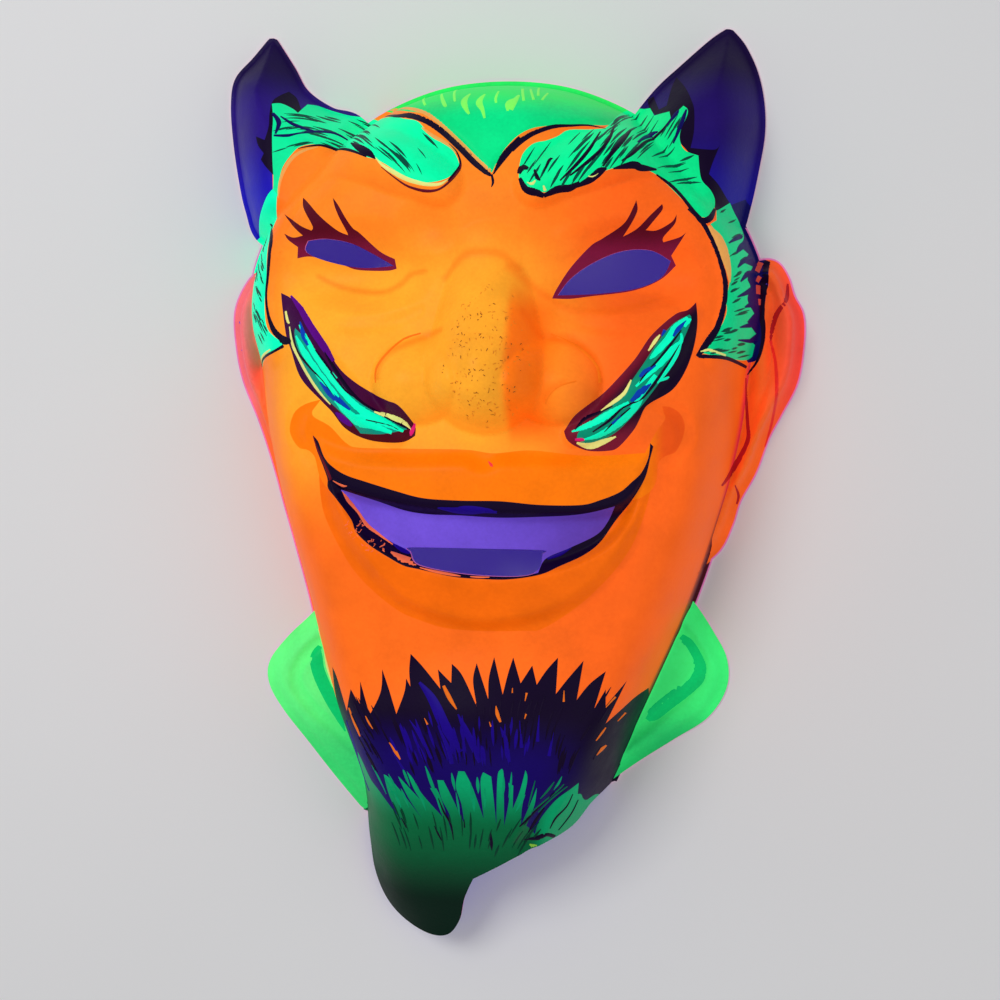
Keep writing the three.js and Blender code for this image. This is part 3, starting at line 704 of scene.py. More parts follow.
def brow(x, y):
    return mix(rgb(2, 250, 170), rgb(4, 232, 154), fade(np.abs(x), 40, 76))


def right_brow(x, y):
    return mix(rgb(0, 244, 154), rgb(0, 224, 136), fade(x, 20, 60))


def horn(x, y):
    """Violet low down, brightened there with a painted blue reflection, and darker to the tip; the one on
    the right is darker still, in painted shade.
    """
    low = mix(rgb(26, 20, 176), rgb(40, 18, 120), fade(y, 96, 122))
    colour = mix(low, rgb(24, 8, 62), fade(y, 126, 144))
    return mix(colour, BLACK, 0.4 * (x > 0))


def ear(x, y):
    return mix(rgb(255, 104, 34), rgb(250, 74, 60), fade(np.abs(x), 84, 100))


def left_ear(x, y):
    # Pinker towards the outer edge: painted light, a bluish light falling on that side.
    return mix(rgb(252, 108, 50), rgb(244, 112, 120), fade(x, -80, -89))


def collar(x, y):
    """Green, deeper towards the foot, and darker at the right corner with painted shadow."""
    colour = mix(rgb(100, 254, 134), rgb(62, 250, 126), fade(x, -60, 50))
    colour = mix(colour, rgb(14, 196, 104), 0.7 * fade(y, -66, -96))
    return mix(colour, rgb(12, 150, 86), 0.6 * fade(x, 40, 60) * fade(y, -72, -84))


def beard(x, y):
    """Green that darkens towards the tip in painted shade where it turns down, less so on the curl at the
    right.
    """
    colour = mix(rgb(2, 160, 104), rgb(0, 98, 56), fade(y, -88, -108) * (1 - 0.8 * fade(x, 12, 20)))
    return mix(colour, rgb(2, 28, 18), fade(y, -106, -138))


def beard_hair(x, y):
    """Black at the chin, blue lower down and to the left."""
    return mix(BLACK, rgb(20, 2, 92), fade(y, -66, -84) * fade(x, 38, 14))


def moustache_border(x, y):
    """Violet to wine on the left; on the right wine on the nose's side and black on the other."""
    over = 0.76 * (x - 28) - 0.65 * (y - 20)
    left = mix(rgb(58, 6, 62), rgb(76, 8, 24), fade(y, 40, 18))
    right = mix(rgb(112, 20, 44), rgb(18, 2, 32), fade(over, -3, 2) * fade(y, 20, 30))
    return np.where((x > 0)[:, None], right, left)


def upper_lip(x, y):
    return mix(rgb(252, 120, 4), rgb(238, 84, 18), fade(x, 50, 56))


def teeth(x, y):
    return mix(rgb(112, 80, 212), rgb(94, 62, 174), fade(x, -10, 40))


def lashes(x, y):
    return mix(rgb(118, 20, 58), rgb(84, 6, 28), fade(y, 78, 86))


# Formed shapes that a coat lies on, as places in FORMED
FACE = (0,)
HORNS = (0, 1, 2)
BY_EAR = (0, 1, 3)
BOTH_EARS = (3, 4)


def coats():
    """Painted areas from the lowest coat to the highest, as (outline, colour over x and y, shapes)."""
    return [(outline(points), colour, shapes) for points, colour, shapes in (
        (CAP_PAINT, cap, FACE),
        (TEMPLE_SKIN_LEFT, skin, HORNS),
        (TEMPLE_SKIN_RIGHT, skin, HORNS),
        (HORN_HAIR_LEFT, plain(BLACK), HORNS),
        (HORN_HAIR_RIGHT, plain(BLACK), HORNS),
        (BROW_LEFT, brow, HORNS),
        (SIDEBURN_LEFT, plain(rgb(0, 255, 192)), HORNS),
        (TEMPLE_DARK, plain(NAVY), BY_EAR),
        (SIDEBURN_RIGHT, plain(rgb(0, 210, 136)), HORNS),
        (BROW_RIGHT, right_brow, HORNS),
        (LOWER_LIP, plain(rgb(244, 104, 6)), FACE),
        (UPPER_LIP, upper_lip, FACE),
        (MOUSTACHE_LEFT, moustache_border, FACE),
        (MOUSTACHE_LEFT_BRIGHT, plain(rgb(4, 150, 130)), FACE),
        (MOUSTACHE_RIGHT, moustache_border, FACE),
        (MOUSTACHE_RIGHT_BRIGHT, plain(rgb(4, 140, 110)), FACE),
        (LASHES_LEFT, lashes, FACE),
        (LASHES_RIGHT, lashes, FACE),
        (MOUTH_BLACK, plain(BLACK), FACE),
        (TEETH, teeth, FACE),
        (BEARD_BLACK, beard_hair, FACE),
        (BEARD_GREEN, beard, FACE),
    )]


SHAPE_COATS = [skin, horn, horn, ear, left_ear, collar, collar]
PALE_EDGED = [HEAD, EAR_RIGHT, EAR_LEFT]

PALE_EDGE = 0.5  # bare trimmed edge round the ears and the jaw
BARE_LIP_TOP = 90  # below this the lip is bare beside the ears and the head
BARE_LIP_FOOT = -60  # above this it is bare beside the head

# Sampling of the sheet, in millimetres
PLAN_LOW = (-96, -152)
PLAN_HIGH = (103, 156)
GRID = 0.95
GRID_CLEAR = 0.62  # how near a grid point may come to any other point
BORDER_CLEAR = 0.42  # how near a row point may come to a painted border
FOOT_ROWS = (0.3, 0.65, 1.05, 1.5, 2.0, 2.6, 3.3)
UNDER_GRID = 2.2
UNDER_GRID_CLEAR = 1.5
UNDER_CLEAR = 0.65
VALLEY_CLEAR = 0.35
CREASE_CELL = 0.9
CREASE_FOOT = -112  # no crease lies lower than this
CREASE_HELD = 0.4  # lower than this a shape has no crease worth an edge
CREASE_HALVINGS = 10


def hex_grid(step, low, high):
    """A grid of points, every second row half a step along."""
    rows = np.arange(low[1], high[1], step * math.sqrt(3) / 2)
    columns = np.arange(low[0], high[0], step)
    x, y = np.meshgrid(columns, rows)
    x = x + (np.arange(len(rows)) % 2)[:, None] * step / 2
    return np.column_stack([x.ravel(), y.ravel()])


class Buckets:
    """Marks which small squares of the plan hold a point, to thin points that crowd others."""

    def __init__(self, points, size):
        self.size = size
        self.held = {}
        for point in points:
            self.held.setdefault(self.square(point), []).append(point)

    def square(self, point):
        return int(point[0] // self.size), int(point[1] // self.size)

    def far(self, point):
        column, row = self.square(point)
        for i in (column - 1, column, column + 1):
            for j in (row - 1, row, row + 1):
                for other in self.held.get((i, j), ()):
                    if (other[0] - point[0]) ** 2 + (other[1] - point[1]) ** 2 < self.size**2:
                        return False
        return True

    def take(self, points):
        """The points that are clear of those held, each held in turn."""
        kept = []
        for point in points:
            if self.far(point):
                self.held.setdefault(self.square(point), []).append(point)
                kept.append(point)
        return kept


def rows_along(foot):
    """Points beside a steep foot, in rows that follow it."""
    along = np.gradient(foot, axis=0)
    along /= np.hypot(*along.T)[:, None]
    inwards = np.column_stack([along[:, 1], -along[:, 0]])
    return np.vstack([foot + reach * inwards for reach in FOOT_ROWS])


def crease_edges():
    """Where the head runs into another formed shape, traced through the cells of a grid: points, edges."""
    x, y = np.meshgrid(
        np.arange(PLAN_LOW[0], PLAN_HIGH[0], CREASE_CELL), np.arange(CREASE_FOOT, PLAN_HIGH[1], CREASE_CELL))
    rows = heights(x.ravel(), y.ravel()).reshape(-1, *x.shape)
    sides, edges, places = [], [], {}
    for other in range(1, len(FORMED)):
        head_leads = rows[0] > rows[other]
        held = rows[other] > CREASE_HELD
        for j, i in zip(*np.nonzero(held[:-1, :-1] & held[1:, 1:] & held[1:, :-1] & held[:-1, 1:])):
            crossed = []
            for a, b in (((j, i), (j, i + 1)), ((j, i + 1), (j + 1, i + 1)), ((j + 1, i), (j + 1, i + 1)),
                         ((j, i), (j + 1, i))):
                if head_leads[a] == head_leads[b]:
                    continue
                if (other, a, b) not in places:
                    places[other, a, b] = len(sides)
                    inner, outer = (a, b) if head_leads[a] else (b, a)
                    sides.append((other, x[inner], y[inner], x[outer], y[outer]))
                crossed.append(places[other, a, b])
            if len(crossed) == 2:
                edges.append(tuple(crossed))
    sides = np.array(sides)
    others, inner, outer = sides[:, 0].astype(int), sides[:, 1:3], sides[:, 3:]
    for _ in range(CREASE_HALVINGS):
        middle = (inner + outer) / 2
        rows = heights(middle[:, 0], middle[:, 1])
        leads = (rows[0] > rows[others, np.arange(len(others))])[:, None]
        inner, outer = np.where(leads, middle, inner), np.where(leads, outer, middle)
    return [tuple(point) for point in middle], edges


def inside_sheet(x, y):
    """Which points are on the sheet: on a formed shape or its lip, and not cut away."""
    held = np.zeros(x.shape, bool)
    for shape, _ in FORMED:
        held |= contains(flange_of(shape), x, y) | contains(border_of(shape), x, y)
    for cut in (EYE_RIGHT, EYE_LEFT, SLOT, BEARD_SNIP):
        held &= ~contains(closed(cut), x, y)
    return held


def sheet_grid(step):
    """The points of a grid that are on the sheet."""
    grid = hex_grid(step, PLAN_LOW, PLAN_HIGH)
    return grid[inside_sheet(*grid.T)]


def triangulate(points, edges):
    """Triangles over the sheet's plan with these edges kept, all counterclockwise: points, triangles."""
    found = delaunay_2d_cdt([Vector(p) for p in points], edges, [], 0, 1e-6, False)
    plan, triangles = np.array([tuple(v) for v in found[0]]), np.array(found[2])
    triangles = triangles[inside_sheet(*plan[triangles].mean(axis=1).T)]
    a, b, c = plan[triangles.T]
    area = (b[:, 0] - a[:, 0]) * (c[:, 1] - a[:, 1]) - (b[:, 1] - a[:, 1]) * (c[:, 0] - a[:, 0])
    triangles[area < 0] = triangles[area < 0][:, ::-1]
    return plan, triangles


def loops_to_edges(loops, start):
    """One list of points and edges for runs of points, each (points, whether it closes)."""
    points, edges = [], []
    for loop, closes in loops:
        first = start + len(points)
        count = len(loop)
        points.extend(map(tuple, loop[:, :2]))
        edges.extend((first + i, first + (i + 1) % count) for i in range(count if closes else count - 1))
    return points, edges


def outer_plan():
    """The plan of the outer face with every border in it."""
    loops = [(flange_of(shape), True) for shape, _ in FORMED]
    loops += [(foot_of(shape), False) for shape, _ in FORMED]
    loops += [(closed(cut), True) for cut in (EYE_RIGHT, EYE_LEFT, SLOT, BEARD_SNIP)]
    loops += [(path, True) for path, _, _ in coats()]
    loops += [(flange_of(shape, FLANGE - PALE_EDGE), True) for shape in PALE_EDGED]
    points, edges = crease_edges()
    more, rounds = loops_to_edges(loops, len(points))
    points += more
    edges += rounds
    buckets = Buckets(points, BORDER_CLEAR)
    free = []
    for shape, _ in FORMED:
        free += buckets.take(rows_along(foot_of(shape)))
    wide = Buckets(points + free, GRID_CLEAR)
    free += [p for p in sheet_grid(GRID) if wide.far(p)]
    return triangulate(points + [tuple(p) for p in free], edges)


def rim_edges(triangles):
    """Edges that only one triangle has, in the direction it runs them."""
    sides = np.vstack([triangles[:, [0, 1]], triangles[:, [1, 2]], triangles[:, [2, 0]]])
    key = np.sort(sides, axis=1)
    _, first, count = np.unique(key, axis=0, return_index=True, return_counts=True)
    return sides[first[count == 1]]


def inner_plan(plan, rim):
    """A coarser plan of the inner face with the same rim: points, triangles, and the rim's places in it."""
    used = np.unique(rim)
    place = {old: new for new, old in enumerate(used)}
    points = [tuple(plan[i]) for i in used]
    edges = [(place[a], place[b]) for a, b in rim]
    valleys = np.vstack([foot_of(shape) for shape, _ in FORMED] + [crease_edges()[0]])
    free = Buckets(points, VALLEY_CLEAR).take(valleys[inside_sheet(*valleys.T)])
    buckets = Buckets(points + free, UNDER_CLEAR)
    for shape, _ in FORMED:
        near = foot_of(shape)[::2]
        free += buckets.take(rows_along(near)[2 * len(near):])
    wide = Buckets(points + free, UNDER_GRID_CLEAR)
    free += [p for p in sheet_grid(UNDER_GRID) if wide.far(p)]
    under, triangles = triangulate(points + [tuple(p) for p in free], edges)
    spots = {tuple(np.round(p, 5)): i for i, p in enumerate(under)}
    return under, triangles, {old: spots[tuple(np.round(plan[old], 5))] for old in used}


def corner_colours(plan, triangles):
    """Linear colours for the three corners of each triangle of the outer face."""
    middle = plan[triangles].mean(axis=1)
    x, y = middle[:, 0], middle[:, 1]
    corners = plan[triangles].reshape(-1, 2)
    colours = np.tile(EDGE, (len(corners), 1))

    def paint(faces, colour, path=None):
        """Colours these faces, or those of them inside a path."""
        if path is not None:
            faces = faces & contains(path, x, y)
        spots = np.repeat(faces, 3)
        colours[spots] = colour(corners[spots, 0], corners[spots, 1])

    rows = heights(x, y)
    top = rows.argmax(axis=0)
    lip = rows.max(axis=0) <= 0
    for index, (shape, _) in enumerate(FORMED):
        top[lip & contains(flange_of(shape), x, y)] = index
    for index, colour in enumerate(SHAPE_COATS):
        paint(top == index, colour)
    for path, colour, shapes in coats():
        paint(np.isin(top, shapes), colour, path)
    bare = lip & (y < BARE_LIP_TOP)
    for shape in PALE_EDGED:
        bare &= ~contains(flange_of(shape, FLANGE - PALE_EDGE), x, y)
    bare &= np.isin(top, BOTH_EARS) | np.isin(top, FACE) & (y > BARE_LIP_FOOT)
    paint(bare, plain(EDGE))
    return colours


def build_sheet(sheet):
    """The formed sheet as arrays: points, triangles, corner colours and rim edges."""
    plan, triangles = outer_plan()
    rim = rim_edges(triangles)
    top = sheet + outer_face(heights(plan[:, 0], plan[:, 1]))
    under, under_triangles, twin = inner_plan(plan, rim)
    bottom = inner_face(under[:, 0], under[:, 1], sheet)
    count = len(plan)
    strips = []
    for a, b in rim:
        c, d = count + twin[a], count + twin[b]
        strips += [(a, c, d), (a, d, b)]
    points = np.vstack([np.column_stack([plan, top]), np.column_stack([under, bottom])])
    faces = np.vstack([triangles, under_triangles[:, ::-1] + count, strips])
    colours = np.vstack([
        corner_colours(plan, triangles), np.tile(PLASTIC, (3 * len(under_triangles), 1)),
        np.tile(EDGE, (3 * len(strips), 1)),
    ])
    lower = np.array([(count + twin[a], count + twin[b]) for a, b in rim])
    return points, faces, colours, np.vstack([rim, lower])


def mesh_object(name, points, faces, edges=()):
    """A mesh from points in the tables' millimetres, placed in the frame."""
    spots = (np.asarray(points, float) + (*TO_FRAME, 0)) * MM
    mesh = bpy.data.meshes.new(name)
    mesh.from_pydata(spots.tolist(), np.asarray(edges).tolist(), np.asarray(faces).tolist())
    mesh.update()
    thing = bpy.data.objects.new(name, mesh)
    bpy.context.scene.collection.objects.link(thing)
    return thing


def drop_unused(points, faces, rims):
    """The same mesh without the points that no face has."""
    used = np.unique(faces)
    place = np.full(len(points), -1)
    place[used] = np.arange(len(used))
    return points[used], place[faces], place[rims]


# Materials and nodes
def node(tree, kind, values=None, **settings):
    """Adds a node, sets its properties and the plain values or links of its inputs."""
    made = tree.nodes.new(kind)
    for key, value in settings.items():
        setattr(made, key, value)
    for key, value in (values or {}).items():
        if isinstance(value, bpy.types.NodeSocket):
            tree.links.new(value, made.inputs[key])
        else:
            made.inputs[key].default_value = value
    return made


def number(tree, operation, *values):
    """The result of a sum."""
    return node(tree, "ShaderNodeMath", dict(enumerate(values)), operation=operation).outputs[0]


def vector(tree, operation, values):
    """The result of a sum on vectors."""
    return node(tree, "ShaderNodeVectorMath", values, operation=operation).outputs[0]


BUMP_SHARE = 0.12  # the paint's greatest unevenness as a share of its grain
SHEEN = 0.08  # how much the paint mirrors the lamps


def paint_material(name, attribute, grain, glow, roughness, bump):
    """Brushed paint: its colour is an attribute, broken up by thin and thick places."""
    material = bpy.data.materials.new(name)
    material.use_nodes = True
    tree = material.node_tree
    tree.nodes.clear()
    spot = node(tree, "ShaderNodeTexCoord").outputs["Object"]
    colour = node(tree, "ShaderNodeAttribute", attribute_name=attribute).outputs["Color"]
    patches = node(tree, "ShaderNodeTexNoise", {
        "Vector": spot, "Scale": 60.0, "Detail": 4.0, "Roughness": 0.6}).outputs["Fac"]
    fine = node(tree, "ShaderNodeTexNoise", {
        "Vector": spot, "Scale": 1 / grain, "Detail": 3.0}).outputs["Fac"]

    def spread(noise, low, high):
        return node(tree, "ShaderNodeMapRange", {
            "Value": noise, "From Min": 0.3, "From Max": 0.7,
            "To Min": low, "To Max": high}).outputs["Result"]

    level = number(tree, "MULTIPLY", spread(patches, 0.88, 1.06), spread(fine, 0.95, 1.03))
    tinted = vector(tree, "SCALE", {0: colour, "Scale": level})
    lumps = number(tree, "MULTIPLY_ADD", patches, 2.0, fine)
    relief = node(tree, "ShaderNodeBump", {
        "Strength": bump, "Distance": grain * BUMP_SHARE, "Height": lumps}).outputs["Normal"]
    shader = node(tree, "ShaderNodeBsdfPrincipled", {
        # The paint gives off light of its own colour too: a painted glow.
        "Base Color": tinted, "Roughness": spread(patches, roughness - 0.07, roughness + 0.08),
        "Normal": relief, "Emission Color": tinted, "Emission Strength": glow, "Specular IOR Level": SHEEN})
    node(tree, "ShaderNodeOutputMaterial", {"Surface": shader.outputs["BSDF"]})
    return material


DROP_FROM = 0.2  # strokes fall on the sheet from this height, in metres
DROP_REACH = 0.3


def stroke_tree():
    """Lays paths on the sheet as thin raised brush strokes."""
    tree = bpy.data.node_groups.new("brushed_strokes", "GeometryNodeTree")
    sockets = (
        ("Paths", "NodeSocketGeometry", None), ("Sheet", "NodeSocketObject", None),
        ("Spacing", "NodeSocketFloat", 0.0006), ("Lift", "NodeSocketFloat", 0.00009),
        ("Sink", "NodeSocketFloat", 0.00003), ("Across", "NodeSocketInt", 5),
        ("Wobble", "NodeSocketFloat", 0.00014), ("Wobble scale", "NodeSocketFloat", 160.0),
        ("Seed", "NodeSocketFloat", 4.0), ("Paint", "NodeSocketMaterial", None),
    )
    for name, kind, value in sockets:
        socket = tree.interface.new_socket(name, in_out="INPUT", socket_type=kind)
        if value is not None:
            socket.default_value = value
    tree.interface.new_socket("Strokes", in_out="OUTPUT", socket_type="NodeSocketGeometry")
    given = node(tree, "NodeGroupInput").outputs

    def made(kind, values=None, **settings):
        return node(tree, kind, values, **settings).outputs[0]

    def named(name, kind="FLOAT"):
        return made("GeometryNodeInputNamedAttribute", {"Name": name}, data_type=kind)

    def keep(geometry, name, value, kind):
        return made("GeometryNodeStoreNamedAttribute", {"Geometry": geometry, "Name": name, "Value": value},
                    data_type=kind, domain="POINT")

    # A path, swaying a little as a hand does
    curve = made("GeometryNodeMeshToCurve", {"Mesh": given["Paths"]})
    curve = made("GeometryNodeCurveSplineType", {"Curve": curve}, spline_type="CATMULL_ROM")
    curve = made("GeometryNodeResampleCurve", {"Curve": curve, "Length": given["Spacing"]}, mode="LENGTH")
    noise = node(tree, "ShaderNodeTexNoise", {
        "Vector": made("GeometryNodeInputPosition"), "W": given["Seed"], "Scale": given["Wobble scale"],
        "Detail": 1.0}, noise_dimensions="4D").outputs["Color"]
    centred = vector(tree, "SUBTRACT", {0: noise, 1: (0.5, 0.5, 0.5)})
    sway = vector(tree, "SCALE", {0: centred, "Scale": given["Wobble"]})
    curve = made("GeometryNodeSetPosition", {"Geometry": curve, "Offset": sway})
    curve = made("GeometryNodeSetCurveNormal", {"Curve": curve}, mode="Z_UP")

    # The bristles' line across it, from -1 to 1
    line = made("GeometryNodeCurvePrimitiveLine", {"Start": (-1, 0, 0), "End": (1, 0, 0)})
    line = made("GeometryNodeResampleCurve", {"Curve": line, "Count": given["Across"]}, mode="COUNT")
    side = made("ShaderNodeSeparateXYZ", {0: made("GeometryNodeInputPosition")})
    line = keep(line, "across", side, "FLOAT")
    band = made("GeometryNodeCurveToMesh", {
        "Curve": curve, "Profile Curve": line, "Scale": named("half_width")})

    # Each point dropped on the sheet from above
    flat = node(tree, "ShaderNodeSeparateXYZ", {0: made("GeometryNodeInputPosition")}).outputs
    above = made("ShaderNodeCombineXYZ", {"X": flat["X"], "Y": flat["Y"], "Z": DROP_FROM})
    target = node(tree, "GeometryNodeObjectInfo", {"Object": given["Sheet"]}).outputs["Geometry"]
    ray = node(tree, "GeometryNodeRaycast", {
        "Target Geometry": target, "Source Position": above, "Ray Direction": (0, 0, -1),
        "Ray Length": DROP_REACH}).outputs

    # Thick in the middle and sunk at the sides
    crown = number(tree, "SUBTRACT", 1.0, number(tree, "MULTIPLY", named("across"), named("across")))
    lift = number(tree, "ADD", given["Lift"], named("rise"))
    high = number(tree, "MULTIPLY", crown, number(tree, "ADD", lift, given["Sink"]))
    high = number(tree, "SUBTRACT", high, given["Sink"])
    push = vector(tree, "SCALE", {0: ray["Hit Normal"], "Scale": high})
    place = vector(tree, "ADD", {0: ray["Hit Position"], 1: push})
    laid = made("GeometryNodeSetPosition", {
        "Geometry": band, "Selection": ray["Is Hit"], "Position": place})

    # What misses the sheet is left out
    missed = made("FunctionNodeBooleanMath", {0: ray["Is Hit"]}, operation="NOT")
    laid = keep(laid, "missed", missed, "BOOLEAN")
    laid = made("GeometryNodeDeleteGeometry", {
        "Geometry": laid, "Selection": named("missed", "BOOLEAN")}, domain="POINT")
    laid = made("GeometryNodeFlipFaces", {"Mesh": laid})
    laid = made("GeometryNodeSetShadeSmooth", {"Geometry": laid})
    laid = made("GeometryNodeRealizeInstances", {"Geometry": laid})
    laid = made("GeometryNodeSetMaterial", {"Geometry": laid, "Material": given["Paint"]})
    node(tree, "NodeGroupOutput", {"Strokes": laid})
    return tree


def lay_strokes(name, strokes, paint, **values):
    """Brush strokes, each (points with half width, colour, rise), as a plain mesh on the sheet."""
    points, edges, widths, tints, rises = [], [], [], [], []
    for path, colour, rise in strokes:
        first = len(points)
        points += [(x, y, 0) for x, y, _ in path]
        edges += [(first + i, first + i + 1) for i in range(len(path) - 1)]
        widths += [half * SPREAD * MM for _, _, half in path]
        rises += [rise * MM] * len(path)
        tints += [c for _ in path for c in (*colour, 1.0)]
    thing = mesh_object(name, points, [], edges)
    for key, kind, field, data in (
        ("half_width", "FLOAT", "value", widths), ("rise", "FLOAT", "value", rises),
        ("tint", "FLOAT_COLOR", "color", tints),
    ):
        thing.data.attributes.new(key, kind, "POINT").data.foreach_set(field, data)
    tree = bpy.data.node_groups.get("brushed_strokes") or stroke_tree()
    modifier = thing.modifiers.new("strokes", "NODES")
    modifier.node_group = tree
    given = {"Sheet": bpy.data.objects["painted_mask"], "Paint": paint, **values}
    for item in tree.interface.items_tree:
        if item.in_out == "INPUT" and item.name in given:
            modifier[item.identifier] = given[item.name]
    ready = thing.evaluated_get(bpy.context.evaluated_depsgraph_get())
    laid = bpy.data.meshes.new_from_object(ready)
    thing.modifiers.clear()
    thing.data = laid
    laid.name = name
    if not laid.polygons:
        raise RuntimeError(f"{name} has no faces")
    return thing


def on_sheet(thing):
    """Joins a finished piece to the mask's body."""
    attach(thing, "root")


# Brush strokes as runs of (x, y, half width)
LINES = [
    (BLACK, [
        [(-42, 127, .2), (-33, 123.5, .7), (-27.5, 122.5, 1), (-21.5, 120, .9), (-16, 116.5, .9),
         (-10, 111.5, 1.1), (-4.5, 106, 1.1), (-0.5, 102.5, .7), (1, 101.5, .2)],
        [(1.5, 102, .2), (3.5, 106, .8), (6, 110, 1.1), (9.5, 113.5, .9)],
        [(1, 102, .3), (1.5, 99.5, .4), (1, 98, .1)],
        [(6.5, 110, 1), (10, 113, .8), (14, 115.5, .7), (19.5, 117.5, .6), (24.5, 118, .4),
         (30.5, 118.5, .3), (35.5, 117.5, .1)],
        [(61.5, 92.5, .3), (66, 88.5, .6), (69, 83.5, .7), (71.5, 77.5, .7), (73.5, 70.5, .8),
         (73.5, 64.5, .8), (72.5, 59.5, .9), (71, 55, 1), (68, 50.5, 1.1), (65, 46.5, .5)],
        [(65.5, 46.5, .5), (69.5, 46.5, .6), (75, 46, .6), (81.5, 43.5, .5)],
        [(88, 79, .9), (87, 71, 1.1), (86.5, 61.5, .9), (87, 54, .7), (85.5, 46.5, .5), (82, 41, .2)],
    ]),
    # Pale strokes on the crown: painted highlights standing for the lit edges of tufts in the hair.
    (MINT, [
        [(-8.5, 130, .3), (-9.5, 126.5, 1.0), (-8, 123, .6), (-7, 121.5, .3)],
        [(-3.5, 129.5, .3), (-4.5, 126, 1.0), (-3, 123, .6), (-2, 120, .3)],
        [(7.5, 127.5, .4), (5, 125.5, 1.0), (5, 122.5, .3)],
        [(-19.5, 132, .3), (-16, 126, .6), (-15, 124.5, .3)],
        [(-16.5, 136, .3), (-13.5, 129, .4), (-12.5, 126.5, .3)],
        [(0.5, 131, .3), (0.5, 127.5, .4), (1, 125.5, .3)],
        [(-28, 133.5, .3), (-22.5, 126, .4)],
        [(5.5, 123, 1.1), (6.5, 126, 1.0), (7.5, 129, .4)],
        [(7.5, 133, .4), (9.5, 126.5, .4)],
        [(10, 133, .3), (12.5, 127, .4)],
        [(16, 131, .3), (15, 127, .4)],
        [(12, 135, .3), (13.5, 129, .4)],
    ]),
    (TAN, [
        [(-43, 129, .3), (-39, 130, .6), (-29, 126, .6), (-21.5, 122.5, .6), (-16, 118.5, .5),
         (-10, 113, .5), (-4.5, 107.5, .5), (0.5, 103, .5)],
    ]),
    # Dark red lines in the right ear's folds and beside the face: painted shade in the creases.
    (WINE, [
        [(95, 71.5, .3), (94.5, 66.5, .7), (91.5, 61.5, .7), (90, 56.5, .6), (89.5, 52.5, .3)],
        [(81.5, 40, .2), (82, 31, .4), (82.5, 24, .5), (82.5, 19.5, .6), (80, 13.5, .7), (76.5, 7.5, .7),
         (74, 4.5, .4)],
        [(78.5, 4.5, .2), (80, 0.5, .4), (79.5, -2.5, .3)],
    ]),
    (EMBER, [
        [(89.5, 52.5, .4), (91, 46, .4), (91.5, 40, .5), (91.5, 33, .5), (90.5, 24.5, .4), (88.5, 17, .2)],
    ]),
    # Thin lines by the nose's wings and the smile folds: painted shade in the creases.
    (CREASE_SHADE, [
        [(-34, 37.5, .2), (-34, 42, .4), (-31, 46.5, .4), (-26.5, 51, .3), (-21, 53, .2)],
        [(35.5, 38, .4), (34.5, 43, .4), (30, 48, .4), (24.5, 51, .3), (20, 53, .2)],
        [(19, 31.5, .4), (20.5, 34.5, .4), (23.5, 37, .3), (28.5, 38.5, .2)],
    ]),
    (SLIVER, [
        [(-46, 3, .1), (-44, 0, .4), (-41, -3.5, .3), (-38, -7.5, .4), (-34, -10.5, .3), (-29.5, -13.5, .1)],
        [(-29.5, -15.5, .2), (-25.5, -17.5, .8), (-20, -19, .6), (-14.5, -20, .5), (-11, -20.5, .2)],
        [(-20, -20, .1), (-15, -21.1, .3), (-10, -21.9, .3), (-7, -22.3, .1)],
        [(-4, -22.4, .1), (-1, -22.5, .2), (2, -22.5, .1)],
        [(-48.5, 6.5, .1), (-45.5, 5, .4), (-43.5, 5, .1)],
    ]),
    (INDIGO, [
        [(-14, -1, .2), (-8.5, -1.5, 1.1), (-4, -1.5, 1.3), (0.5, -1.5, .9), (4.5, -2, .4)],
        [(-30, -13, .1), (-26.5, -15, .5), (-24, -16, .3)],
        [(27, -13.5, .1), (23.5, -15.5, .5), (19.5, -17, .3)],
    ]),
    (MAROON, [
        [(-55.5, 20.5, .1), (-54, 16, .3), (-51.5, 11.5, .4), (-49.5, 7.5, .5), (-50, 6.5, .1)],
    ]),
    (SPOT, [
        [(1.5, 13.5, .1), (2.5, 12.5, .4), (3, 12, .1)],
    ]),
    (BAND, [
        [(61.5, -47.5, .7), (64, -50, 1.5), (66.5, -54, 1.6), (68, -58, 1.8), (67, -62, 2),
         (62.5, -66, 2.2), (57, -70.5, 2.2), (52.5, -74.5, 2), (50.5, -76.5, .8)],
        [(-63, -54, .7), (-64, -57.5, 1.9), (-63.5, -62, 2), (-61.5, -67, 2), (-58.5, -73, 1.9),
         (-56, -78.5, 1.2), (-54, -83.5, .3)],
    ]),
    (PALE, [
        [(-60.5, -46, .1), (-61, -53, .4), (-60, -61, .5), (-57.5, -69, .2)],
    ]),
]
